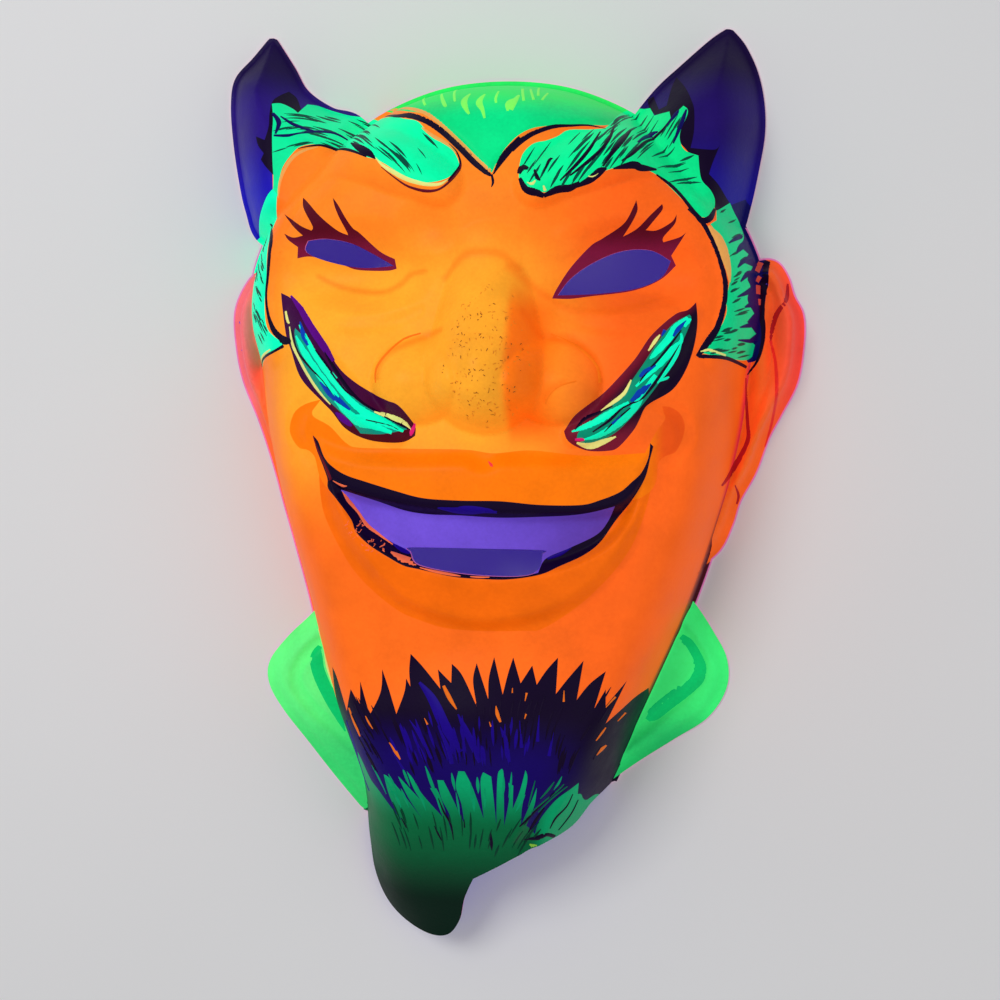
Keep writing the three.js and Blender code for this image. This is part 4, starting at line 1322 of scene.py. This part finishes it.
BROW_STROKES = [
    (NAVY, [
        [(56.5, 114.5, .2), (59, 121.5, .7), (60.5, 126, .3)],
        [(53.5, 120, .2), (57, 124.5, .6), (58, 126, .2)],
        [(45.5, 113, .3), (49, 118, .8), (51.5, 119, .2)],
        [(74.5, 82.5, .2), (78.5, 86, .8), (79.5, 86.5, .3)],
        [(77, 79.5, .2), (79, 82.5, .9), (81.5, 85, .4)],
        [(77.5, 75, .2), (80, 78, .8), (83, 79.5, .5)],
        [(78.5, 70.5, .2), (81, 73.5, .8), (83, 74.5, .5)],
        [(77.5, 65.5, .2), (81, 67.5, .7), (82.5, 69, .5)],
        [(80, 62.5, .2), (82, 63.5, .7), (84, 64, .4)],
        [(78.5, 56, .2), (82, 57, .7), (84.5, 57.5, .5)],
        [(78, 52, .2), (82.5, 52, .6), (85.5, 52.5, .4)],
        [(-73, 125, .2), (-69, 122.5, .5), (-65, 121, .5), (-61.5, 120, .3)],
        [(-74, 118, .3), (-69.5, 118, .5), (-66, 119, .3), (-60.5, 120, .5), (-55, 119.5, .4),
         (-51, 117.5, .2)],
        [(-75.5, 126, .4), (-73, 122.5, .7), (-73.5, 118.5, .3)],
    ]),
    (BLACK, [
        [(10, 100.5, .5), (12, 97, 1), (15, 96, 1.1), (17.5, 95, .6)],
        [(17.5, 95, .5), (22, 97, 1), (25.5, 97.5, .9), (28.5, 99, .5)],
        [(27.5, 98, .4), (31.5, 100, .9), (34.5, 102.5, 1), (36.5, 103.5, .3)],
        [(38.5, 103.5, .2), (44.5, 105, 1.1), (47, 104.5, 1), (51.5, 104.5, .3)],
        [(51.5, 103, .2), (56, 100, .5), (59.5, 96.5, .5), (63.5, 91.5, .6), (66, 89, .9), (68.5, 90, .9),
         (70, 93.5, .4)],
        [(9.5, 102, .6), (10.5, 104, 1), (12.5, 103.5, .4)],
        [(14.5, 103, .3), (15.5, 100.5, .6), (16.5, 99.5, .2)],
        [(17.5, 102, .2), (19, 106, .5), (20, 106.5, .2)],
        [(22.5, 99.5, .2), (27.5, 104.5, .5), (31.5, 110, .5), (34, 116, .2)],
        [(25.5, 101, .2), (30.5, 105, .5), (34.5, 109, .5), (37, 113.5, .5), (38, 119.5, .2)],
        [(35.5, 104, .2), (37.5, 107.5, .6), (41, 113, .7), (43, 118, .3)],
        [(41, 106, .2), (44.5, 109, .5), (49, 115.5, .5), (53, 119.5, .4), (55.5, 123, .2)],
        [(-45.5, 113.5, .2), (-41.5, 111, 1), (-38, 109, 1.1), (-36, 107.5, .6), (-35, 106.5, .1)],
        [(-65.5, 113.5, .1), (-61, 114.5, .3), (-57, 114.5, .4), (-49, 112, .5), (-42.5, 109.5, .4),
         (-38, 107.5, .3)],
        [(-12, 99.5, .2), (-9.5, 103.5, .5), (-9, 106, .3), (-10.5, 109.5, .2), (-13, 112, .1)],
        [(-76, 89.5, .3), (-73, 84.5, .9), (-73, 78.5, .7), (-73.5, 71.5, .5), (-74, 65, .4), (-73, 59, .5),
         (-71, 54.5, .8), (-68.5, 52, .9), (-66, 50.5, 1.2), (-63.5, 50.5, .5)],
        [(-82.5, 42.5, .3), (-78, 44.5, .5), (-70.5, 47, .4), (-66.5, 49, .5)],
    ]),
    (TAN, [
        [(-59, 114, .1), (-63, 113, .4), (-66.5, 111, .5), (-69, 107.5, .5), (-70.5, 103.5, .4),
         (-71, 100, .3), (-71, 97, .1)],
        [(-22, 117.5, .2), (-18, 114.5, .5), (-13.5, 112, .4), (-10.5, 109, .2)],
        [(68, 87.5, .3), (71, 83.5, 1.4), (73, 79, 1.4), (74.5, 74, .8), (75, 70, .2)],
    ]),
    (PALE, [
        [(-82, 43.5, .2), (-79.5, 44.8, .5), (-76, 46, .5), (-71.5, 47.8, .2)],
        [(-35, 107, .1), (-32.5, 104.5, .4), (-28.5, 102, .6), (-24.5, 100, .6), (-19, 98.5, .5),
         (-14.5, 98.5, .4), (-12, 100, .1)],
        [(66, 48, .2), (69, 48.5, .4), (74, 47, .3)],
        [(12.5, 99, .1), (14, 98.5, .4), (15, 99.5, .2)],
        [(17.5, 98, .2), (18, 96.5, .4)],
        [(31, 101, .1), (32.5, 101, .3), (34, 102, .1)],
    ]),
    (MAROON, [
        [(-33, 104, .1), (-28.5, 100.5, .2), (-24.5, 98, .3), (-19, 96.5, .4), (-14.5, 97, .3),
         (-11, 100, .3), (-9, 104, .3), (-9, 105.5, .1)],
    ]),
    (CORAL, [
        [(86, 78.5, .8), (84.5, 75, .7)],
        [(85.5, 73.5, .6), (84.5, 71.5, .5)],
        [(85, 70.5, .8), (85, 67.5, .7)],
        [(85.5, 66, .5), (85.5, 64, .3)],
    ]),
]
MOUSTACHE_STROKES = [
    (CYAN, [
        [(-61.5, 52, .3), (-58, 47, 1.1), (-54, 42, 1.2), (-49, 36, 1.2), (-45, 30.5, 1.4),
         (-40, 25.5, 1.5), (-34.5, 24, 1.1), (-29, 22, .5)],
        [(-60.5, 55.5, .3), (-56.5, 49.5, .8), (-52, 43.5, .9), (-46.5, 37, .9), (-42, 32, .9),
         (-37, 28, 1.1), (-31.5, 25.5, .9), (-26.5, 23, .4)],
        [(-55, 48, .3), (-51, 43.5, .5), (-46.5, 38.5, .5)],
        [(-41.5, 27, .5), (-36, 26.5, .9), (-30.5, 24.5, .8), (-25.5, 22.5, .4)],
        [(27, 23, .2), (31, 24.5, .8), (36, 27, 1.1), (40, 29.5, .9), (44.5, 32, .6)],
        [(30.5, 20.5, .2), (35.5, 22, .8), (41, 25.5, 1.1), (46, 30.5, 1.1), (49, 35.5, .9),
         (52.5, 40.5, .6)],
        [(50.5, 45.5, .2), (52, 47, .8), (55.5, 51, 1.1), (58.5, 55.5, 1.1), (62, 58.5, .5)],
        [(46.5, 37, .3), (50, 40.5, .6), (54, 44.5, 1.1), (57, 48, 1.1), (60, 51, .6), (60, 53.5, .3)],
        [(53, 38, .2), (55.5, 42, .8), (58.5, 47, .8), (60, 50.5, .3)],
        [(61, 55.5, .3), (62, 57.5, .8), (63, 58, .3)],
        [(53, 38.5, .2), (55.5, 39.5, .4), (56.5, 40, .2)],
    ]),
    (BLACK, [
        [(-63.5, 54, .2), (-60.5, 47, .4), (-55.5, 42, .4), (-51, 38, .3), (-47, 33, .4), (-45, 30.5, .2)],
        [(-54, 47.5, .2), (-51, 44, .5), (-47, 39, .4), (-43.5, 35, .3), (-40.5, 33, .2)],
        [(-51, 47, .2), (-47.5, 42, .5), (-43, 36, .5), (-38.5, 31.5, .4), (-34.5, 29, .3), (-30.5, 27, .2)],
        [(-37, 26, .2), (-30.5, 24.5, .3), (-27, 23, .2)],
        [(-31.5, 27, .2), (-26.5, 24.5, .4), (-23.5, 23, .2)],
        [(60, 54.5, .2), (56.5, 49.5, .4), (53, 45, .4), (49.5, 41, .4), (47.5, 38, .2)],
        [(59.5, 50, .2), (56.5, 44.5, .4), (52.5, 38.5, .5), (48.5, 33.5, .4), (46, 32, .2)],
        [(33.5, 23, .2), (38.5, 26.5, .4), (42.5, 30.5, .4), (47, 32.5, .2)],
        [(28, 23.5, .2), (31, 27, .5), (35.5, 29, .4), (39.5, 31, .2)],
        [(37, 23, .2), (41, 27, .3), (45, 30.5, .2)],
    ]),
    (BLUE, [
        [(-60.5, 56.5, .2), (-58.5, 52, .8), (-56.5, 49, .5)],
        [(-52, 37.5, .3), (-49, 34.5, 1.1), (-46, 32, 1.1), (-42, 29, .4)],
        [(47.5, 40, .3), (49.5, 41.5, .9), (52.5, 43.5, .3)],
        [(45, 32.5, .4), (48, 35, 1.2), (51, 38, .4)],
        [(42, 28, .2), (39.5, 25.5, .4)],
        [(57.5, 52.5, .3), (59, 55, .8), (61.5, 57.5, .2)],
        [(54, 52.5, .2), (55, 54.5, .5)],
    ]),
    (PALE, [
        [(-66.5, 60, .4), (-65.5, 57, .5), (-64.5, 56, .2)],
        [(-64.5, 55, .2), (-63, 49.5, .5), (-60, 44.5, .5), (-56, 38.5, .5), (-52.5, 34, .4),
         (-49, 30.5, .2)],
        [(-34.5, 28.5, .2), (-30, 27, .7), (-26, 25.5, .7), (-23.5, 23, .2)],
        [(45, 39, .2), (43, 35, .5), (39.5, 32, .5), (36, 29.5, .2)],
        [(50, 48, .2), (52, 51, .5), (53.5, 53, .2)],
        [(28.5, 19.5, .3), (32.5, 18.5, .9), (37, 20, .7), (40.5, 21.5, .2)],
    ]),
    (PLUM, [
        [(-65, 65, .3), (-61, 60.5, .8), (-56.5, 54.5, .9), (-51.5, 48.5, .9), (-48, 44, .5)],
        [(-47.5, 28, .2), (-45.5, 26.5, 1), (-43, 24.5, .7), (-42, 24, .2)],
    ]),
    (ROSE, [
        [(-22, 25, .2), (-23, 22.5, .6), (-23.5, 21, .2)],
        [(28, 20.5, .3), (30, 20.5, .5), (31, 20.5, .2)],
    ]),
]
BEARD_STROKES = [
    (INDIGO, [
        [(-21, -57.5, .4), (-16.5, -62.5, 1.3), (-12.5, -70, 1.6), (-7.5, -79, .9)],
        [(-8, -66.5, .2), (-5.5, -71.5, .9), (-3, -77.5, 1), (-1.5, -82.5, .5)],
        [(-24, -69.5, .1), (-20.5, -74.5, .6), (-17, -82, .5)],
        [(5.5, -70, .1), (7, -74.5, .7), (8, -82, .4)],
        [(11.5, -68, .1), (12, -77, .5)],
        [(17.5, -66.5, .1), (17, -75, .5)],
        [(22, -72, .1), (20.5, -80, .5)],
        [(-47.5, -73.5, .3), (-45.5, -82, .6), (-45, -93, .6), (-41.5, -99, .4)],
        [(-30, -80.5, .1), (-26.5, -86.5, .4)],
        [(-14.5, -70.5, .2), (-11.5, -78, .7), (-10.5, -83.5, .6)],
    ]),
    (AMBER, [
        [(-45.5, -68, .2), (-43.5, -72.5, .6), (-41.5, -77, .2)],
        [(-39, -69.5, .1), (-38, -71.5, .3), (-36.5, -73.5, .1)],
        [(-31, -77.5, .1), (-29, -80.5, .5), (-27.5, -83, .2)],
        [(-19, -68.5, .1), (-18, -70.5, .3)],
        [(2, -68.5, .1), (2.5, -70, .2)],
        [(4, -63.5, .1), (4.5, -66, .5), (5.5, -68.5, .3)],
        [(13, -67.5, .1), (13.5, -66, .3)],
        [(25, -59, .1), (25, -62.5, .3)],
        [(13, -62, .1), (13.5, -59.5, .3)],
        [(38, -65, .1), (41, -62, .3)],
        [(35, -76, .1), (37, -73.5, .3), (38, -72, .1)],
        [(35, -81.5, .2), (36.5, -80, .6), (38, -79, .3)],
        [(41.5, -71, .1), (44, -69, .3)],
        [(-13, -58, .4), (-11, -61.5, .6), (-8.5, -65, .2)],
        [(9, -58, .1), (9, -59.5, .2)],
    ]),
    (GREEN, [
        [(17.5, -95, .1), (20, -92, .3), (22, -89, .1)],
        [(14.5, -100, .1), (19, -96, .2), (23, -92.5, .2), (25, -90, .1)],
        [(16.5, -100.5, .1), (20.5, -96, .2), (26, -91, .1)],
        [(13.5, -98, .1), (15, -92.5, .2), (16, -88.5, .1)],
    ]),
    (BLACK, [
        [(-17.5, -106.5, .1), (-16.5, -109.5, .3), (-15.5, -112, .1)],
        [(1, -108, .1), (1, -112, .5), (1, -115, .1)],
        [(-15.5, -96, .1), (-14, -101, .3), (-12, -105.5, .3), (-11.5, -111.5, .1)],
        [(20, -107, .1), (22, -103, .3), (25.5, -99, .2), (27.5, -94.5, .1)],
        [(22.5, -108.5, .1), (26.5, -103, .2), (29, -97.5, .1)],
        [(11.5, -111.5, .2), (15.5, -111, .7), (19, -109.5, .7), (22.5, -112, .5), (26, -110.5, .2)],
        [(10.5, -105.5, .2), (13, -103, .4), (16.5, -99, .3), (22, -93, .1)],
        [(13, -108.5, .2), (15.5, -104, .5), (18.5, -99, .2)],
        [(-28.5, -104.5, .1), (-27, -108, .3)],
        [(-7.5, -103.5, .1), (-7.5, -106.5, .2)],
    ]),
    (LIME, [
        [(13, -113.5, .2), (16.5, -115, 1.3), (20.5, -114, .3)],
    ]),
]


# Fine hairs as (colour, area they lie in, their lie as (x, y, degrees), how many, length, half width)
DEEP_GREEN = rgb(0, 58, 40)
SEA_GREEN = rgb(0, 146, 98)
RIGHT_LIE = [(12, 100, 62), (28, 108, 54), (42, 114, 60), (56, 116, 62), (58, 106, 20), (65, 98, -4)]
LEFT_LIE = [
    (-70, 115, 18), (-58, 124, -16), (-52, 119, -24), (-36, 112, -38), (-22, 113, -46), (-14, 105, -68),
]
BEARD_LIE = [
    (-40, -75, -60), (-20, -78, -72), (0, -80, -88), (18, -80, -100), (36, -74, -122), (24, -98, -128),
]
BY_LEFT_EAR = [(-74, 94), (-81, 86), (-82, 60), (-79, 47), (-71, 49), (-75, 62)]
STRANDS = [
    (PINE, BROW_LEFT[:11] + BROW_LEFT[22:], LEFT_LIE, 44, 11, 0.34),
    (PINE, BROW_LEFT, LEFT_LIE, 12, 6, 0.26),
    (PINE, BROW_RIGHT, RIGHT_LIE, 70, 9, 0.36),
    (PINE, SIDEBURN_RIGHT, [(78, 84, 40), (80, 70, 34), (80, 54, 14)], 36, 4.5, 0.34),
    (PINE, BY_LEFT_EAR, [(-78, 70, -54)], 34, 4.5, 0.34),
    (INDIGO, [(-28, -65), (14, -67), (22, -84), (-36, -86)], BEARD_LIE, 46, 9, 0.42),
    (BLACK, [(-47, -64), (40, -58), (36, -86), (-42, -90)], BEARD_LIE, 90, 9, 0.36),
    (SEA_GREEN, [(-42, -84), (28, -86), (18, -102), (-34, -104)], BEARD_LIE, 20, 11, 0.42),
    (DEEP_GREEN, [(-34, -98), (20, -98), (14, -118), (-30, -118)], BEARD_LIE, 36, 9, 0.3),
]
STRAND_STEPS = 6


def strands(chooser, area, lie, count, length, half):
    """Tapering hairs at random places in a painted area, each following the area's lie."""
    edge, lie = outline(area), np.asarray(lie, float)
    ways = np.column_stack([np.cos(np.radians(lie[:, 2])), np.sin(np.radians(lie[:, 2]))])
    laid = []
    while len(laid) < count:
        run = [chooser.uniform(edge.min(axis=0), edge.max(axis=0))]
        step = length * chooser.uniform(0.5, 1.1) / STRAND_STEPS
        for _ in range(STRAND_STEPS):
            pull = 1 / (((lie[:, :2] - run[-1]) ** 2).sum(axis=1) + 1) ** 2
            way = pull @ ways
            run.append(run[-1] + step * way / np.hypot(*way))
        x, y = np.transpose(run)
        if contains(edge, x, y).all():
            thick = half * chooser.uniform(0.7, 1.3) * np.sin(np.linspace(0.15, math.pi - 0.1, len(run)))
            laid.append(list(zip(x, y, thick)))
    return laid


SPREAD = 1.25  # strokes are laid wider than they show, because their sides sink into the sheet
STROKE_LAYER = 0.015  # how far each group of strokes lies over the one before, in millimetres
MOUSTACHE_RISE = 0.02  # how much higher these strokes lie than the painted lines
SPECK_RISE = 0.04
BROW_RISE = 0.06
BEARD_RISE = 0.12
STRAND_SEED = 5
SPECK_SEED = 11
THIN_ACROSS = 3  # points across a hair or a speck, where a stroke has more

# Specks as (colour, how many, (x, y, half width, half height) of the area they lie in)
SPECKS = [
    (rgb(214, 128, 34), 150, (2, 46, 13, 22)),
    (rgb(150, 84, 24), 90, (1, 44, 12, 19)),
    (SLIVER, 26, (-41.5, -8.5, 3.5, 3)),
    (SLIVER, 26, (-35, -14, 4.5, 2)),
]


def speck(chooser, cx, cy, rx, ry):
    """A short thin mark somewhere in an ellipse."""
    turn, far = chooser.uniform(0, 2 * math.pi), math.sqrt(chooser.uniform(0, 1))
    x, y = cx + rx * far * math.cos(turn), cy + ry * far * math.sin(turn)
    way, length, half = chooser.uniform(0, math.pi), chooser.uniform(0.1, 0.5), chooser.uniform(0.06, 0.18)
    dx, dy = length * math.cos(way), length * math.sin(way)
    return [(x - dx, y - dy, half), (x, y, 1.4 * half), (x + dx, y + dy, half)]


# Settings that the panel shows
class MaskSettings(bpy.types.PropertyGroup):
    sheet: bpy.props.FloatProperty(
        name="Sheet thickness", description="Thickness of the formed plastic", default=0.0008, min=0.0004,
        max=0.002, precision=4, subtype="DISTANCE", unit="LENGTH")
    glow: bpy.props.FloatProperty(
        name="Glow", description="How strongly the fluorescent paints give off light", default=0.3, min=0,
        max=1, subtype="FACTOR")
    roughness: bpy.props.FloatProperty(
        name="Roughness", description="How matt the paint is", default=0.46, min=0, max=1, subtype="FACTOR")
    grain: bpy.props.FloatProperty(
        name="Grain", description="Size of the fine unevenness in the paint", default=0.0011, min=0.0002,
        max=0.01, precision=4, subtype="DISTANCE", unit="LENGTH")
    bump: bpy.props.FloatProperty(
        name="Bump", description="Depth of the unevenness", default=0.35, min=0, max=1, subtype="FACTOR")


class StageSettings(bpy.types.PropertyGroup):
    floor: bpy.props.FloatVectorProperty(
        name="Floor", description="Colour of the floor", default=rgb(240, 240, 242), size=3, min=0, max=1,
        subtype="COLOR")
    light: bpy.props.FloatProperty(
        name="Light", description="Power of the main light", default=4.6, min=0, unit="POWER")
    lens: bpy.props.FloatProperty(
        name="Lens", description="Focal length on a 36 mm sensor", default=62.5, min=10, unit="CAMERA")
    distance: bpy.props.FloatProperty(
        name="Distance", description="From the camera to the middle of the mask", default=0.56, min=0.1,
        subtype="DISTANCE", unit="LENGTH")
    turn: bpy.props.FloatProperty(
        name="Turn", description="How far the camera stands to the viewer's right", default=math.radians(6),
        subtype="ANGLE", unit="ROTATION")
    tilt: bpy.props.FloatProperty(
        name="Tilt", description="How far the camera stands towards the horns", default=math.radians(4),
        subtype="ANGLE", unit="ROTATION")
    roll: bpy.props.FloatProperty(
        name="Roll", description="How far the camera leans", default=math.radians(0.5), subtype="ANGLE",
        unit="ROTATION")


class DEVILMASK_OT_sheet(bpy.types.Operator):
    """Forms the sheet, paints its areas and lays it in place of the plain solid"""

    bl_idname = "devil_mask.sheet"
    bl_label = "Formed and painted sheet"

    def execute(self, context):
        chosen = context.scene.devil_mask
        points, faces, colours, rims = build_sheet(chosen.sheet / MM)
        points, faces, rims = drop_unused(points, faces, rims)
        mask = mesh_object("painted_mask", points, faces)
        mesh = mask.data
        mesh.attributes.new("paint", "FLOAT_COLOR", "CORNER").data.foreach_set(
            "color", np.column_stack([colours, np.ones(len(colours))]).ravel())
        mesh.polygons.foreach_set("use_smooth", [True] * len(mesh.polygons))
        ends = np.zeros(2 * len(mesh.edges), int)
        mesh.edges.foreach_get("vertices", ends)
        rim = {tuple(pair) for pair in np.sort(rims, axis=1)}
        sharp = [tuple(pair) in rim for pair in np.sort(ends.reshape(-1, 2), axis=1)]
        mesh.attributes.new("sharp_edge", "BOOLEAN", "EDGE").data.foreach_set("value", sharp)
        mesh.materials.append(paint_material(
            "fluorescent_paint", "paint", chosen.grain, chosen.glow, chosen.roughness, chosen.bump))
        on_sheet(mask)
        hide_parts("mask")
        return {"FINISHED"}


def paint_strokes(context, name, groups, rise=0.0, **values):
    """Lays groups of strokes as (colour, paths), each group a little over the one before."""
    chosen = context.scene.devil_mask
    paint = bpy.data.materials.get("stroke_paint") or paint_material(
        "stroke_paint", "tint", chosen.grain, chosen.glow, chosen.roughness, chosen.bump)
    strokes = [(path, colour, rise + STROKE_LAYER * place) for place, (colour, paths) in enumerate(groups)
               for path in paths]
    on_sheet(lay_strokes(name, strokes, paint, **values))


class DEVILMASK_OT_lines(bpy.types.Operator):
    """Lays the painted outlines and bands, the painted shade in creases and the painted highlights on the
    crown
    """

    bl_idname = "devil_mask.lines"
    bl_label = "Painted lines"

    def execute(self, context):
        paint_strokes(context, "painted_lines", LINES)
        return {"FINISHED"}


class DEVILMASK_OT_brows(bpy.types.Operator):
    """Lays the strokes of the eyebrows and the hair beside the face"""

    bl_idname = "devil_mask.brows"
    bl_label = "Eyebrow strokes"

    def execute(self, context):
        paint_strokes(context, "brow_strokes", BROW_STROKES, BROW_RISE)
        return {"FINISHED"}


class DEVILMASK_OT_strands(bpy.types.Operator):
    """Scatters fine hairs over the eyebrows, the hair beside the face and the beard"""

    bl_idname = "devil_mask.strands"
    bl_label = "Fine hairs"

    def execute(self, context):
        chooser = np.random.default_rng(STRAND_SEED)
        groups = [(colour, strands(chooser, *rest)) for colour, *rest in STRANDS]
        paint_strokes(context, "hair_strands", groups, Across=THIN_ACROSS)
        return {"FINISHED"}


class DEVILMASK_OT_moustache(bpy.types.Operator):
    """Lays the strokes of the moustache"""

    bl_idname = "devil_mask.moustache"
    bl_label = "Moustache strokes"

    def execute(self, context):
        paint_strokes(context, "moustache_strokes", MOUSTACHE_STROKES, MOUSTACHE_RISE)
        return {"FINISHED"}


class DEVILMASK_OT_beard(bpy.types.Operator):
    """Lays the strokes of the beard"""

    bl_idname = "devil_mask.beard"
    bl_label = "Beard strokes"

    def execute(self, context):
        paint_strokes(context, "beard_strokes", BEARD_STROKES, BEARD_RISE)
        return {"FINISHED"}


class DEVILMASK_OT_specks(bpy.types.Operator):
    """Scatters the worn specks over the nose and the mouth's black border"""

    bl_idname = "devil_mask.specks"
    bl_label = "Worn specks"

    def execute(self, context):
        chooser = np.random.default_rng(SPECK_SEED)
        groups = [(colour, [speck(chooser, *area) for _ in range(count)]) for colour, count, area in SPECKS]
        paint_strokes(context, "worn_specks", groups, SPECK_RISE, Across=THIN_ACROSS)
        return {"FINISHED"}


FLOOR_REACH = 1500  # half the floor's side, in millimetres
ROOM_LIGHT = 0.38
# Lamps as (name, place in metres, size, share of the main light's power)
LAMPS = [("key", (-0.45, 0.42, 0.95), 0.5, 1.0), ("fill", (0.6, -0.3, 0.9), 0.9, 0.35)]


class DEVILMASK_OT_stage(bpy.types.Operator):
    """Sets the pale floor, the soft lights and the camera"""

    bl_idname = "devil_mask.stage"
    bl_label = "Floor, lights and camera"

    def execute(self, context):
        chosen = context.scene.devil_mask_stage
        scene = context.scene
        corners = [(x * FLOOR_REACH, y * FLOOR_REACH, 0) for x, y in ((-1, -1), (1, -1), (1, 1), (-1, 1))]
        floor = mesh_object("floor", corners, [(0, 1, 2, 3)])
        floor.data.materials.append(floor_material(tuple(chosen.floor)))
        for name, place, size, share in LAMPS:
            lamp = bpy.data.lights.new(name, "AREA")
            lamp.size = size
            lamp.energy = chosen.light * share
            thing = bpy.data.objects.new(name, lamp)
            thing.location = place
            thing.rotation_euler = (-Vector(place)).to_track_quat("-Z", "Y").to_euler()
            scene.collection.objects.link(thing)
        world = bpy.data.worlds.new("studio")
        world.use_nodes = True
        sky = world.node_tree.nodes["Background"].inputs
        sky["Color"].default_value = (1, 1, 1, 1)
        sky["Strength"].default_value = ROOM_LIGHT
        scene.world = world
        scene.view_settings.view_transform = "Standard"
        scene.camera = photo_camera(chosen)
        scene.collection.objects.link(scene.camera)
        return {"FINISHED"}


def floor_material(colour):
    """A pale floor with faint clouds."""
    material = bpy.data.materials.new("pale_floor")
    material.use_nodes = True
    tree = material.node_tree
    tree.nodes.clear()
    spot = node(tree, "ShaderNodeTexCoord").outputs["Object"]
    clouds = node(tree, "ShaderNodeTexNoise", {"Vector": spot, "Scale": 5.0, "Detail": 3.0})
    tone = node(tree, "ShaderNodeMixRGB", {
        "Fac": clouds.outputs["Fac"], "Color1": (*colour, 1), "Color2": (*[0.94 * c for c in colour], 1)})
    shader = node(tree, "ShaderNodeBsdfPrincipled", {"Base Color": tone.outputs[0], "Roughness": 0.85})
    node(tree, "ShaderNodeOutputMaterial", {"Surface": shader.outputs["BSDF"]})
    return material


AIM = Vector((2.7, 0, 35))  # the point the camera looks at, in the tables' millimetres


def photo_camera(chosen):
    """A camera that looks down on the mask from where the photograph was taken."""
    turn, tilt, roll = chosen.turn, chosen.tilt, chosen.roll
    back = Vector((math.sin(turn) * math.cos(tilt), math.sin(tilt), math.cos(turn) * math.cos(tilt)))
    right = Vector((0, 1, 0)).cross(back).normalized()
    up = back.cross(right)
    across = right * math.cos(roll) + up * math.sin(roll)
    upright = up * math.cos(roll) - right * math.sin(roll)
    lens = bpy.data.cameras.new("photo_camera")
    lens.lens = chosen.lens
    lens.sensor_width = 36
    lens.clip_start = 0.01
    camera = bpy.data.objects.new("photo_camera", lens)
    spot = (AIM + Vector((*TO_FRAME, 0))) * MM + back * chosen.distance
    turned = Matrix((across, upright, back)).transposed().to_4x4()
    camera.matrix_world = Matrix.Translation(spot) @ turned
    return camera


class DEVILMASK_PT_panel(bpy.types.Panel):
    """Lists the mask's settings and steps"""

    bl_label = "Devil mask"
    bl_idname = "DEVILMASK_PT_panel"
    bl_space_type = "VIEW_3D"
    bl_region_type = "UI"
    bl_category = "Devil mask"

    def draw(self, context):
        for settings in (context.scene.devil_mask, context.scene.devil_mask_stage):
            for key in settings.__annotations__:
                self.layout.prop(settings, key)
        for operator in OPERATORS:
            self.layout.operator(operator.bl_idname)


OPERATORS = (
    DEVILMASK_OT_sheet, DEVILMASK_OT_lines, DEVILMASK_OT_strands, DEVILMASK_OT_brows, DEVILMASK_OT_moustache,
    DEVILMASK_OT_beard, DEVILMASK_OT_specks, DEVILMASK_OT_stage,
)
CLASSES = (MaskSettings, StageSettings, *OPERATORS, DEVILMASK_PT_panel)


def register():
    """Adds the settings, the operators and the panel."""
    for one in CLASSES:
        bpy.utils.register_class(one)
    bpy.types.Scene.devil_mask = bpy.props.PointerProperty(type=MaskSettings)
    bpy.types.Scene.devil_mask_stage = bpy.props.PointerProperty(type=StageSettings)


def unregister():
    """Takes them away again."""
    del bpy.types.Scene.devil_mask_stage
    del bpy.types.Scene.devil_mask
    for one in reversed(CLASSES):
        bpy.utils.unregister_class(one)


def main():
    """Builds the mask and its stage."""
    register()
    bpy.ops.devil_mask.sheet()
    bpy.ops.devil_mask.lines()
    bpy.ops.devil_mask.strands()
    bpy.ops.devil_mask.brows()
    bpy.ops.devil_mask.moustache()
    bpy.ops.devil_mask.beard()
    bpy.ops.devil_mask.specks()
    bpy.ops.devil_mask.stage()


if __name__ == "__main__":
    main()
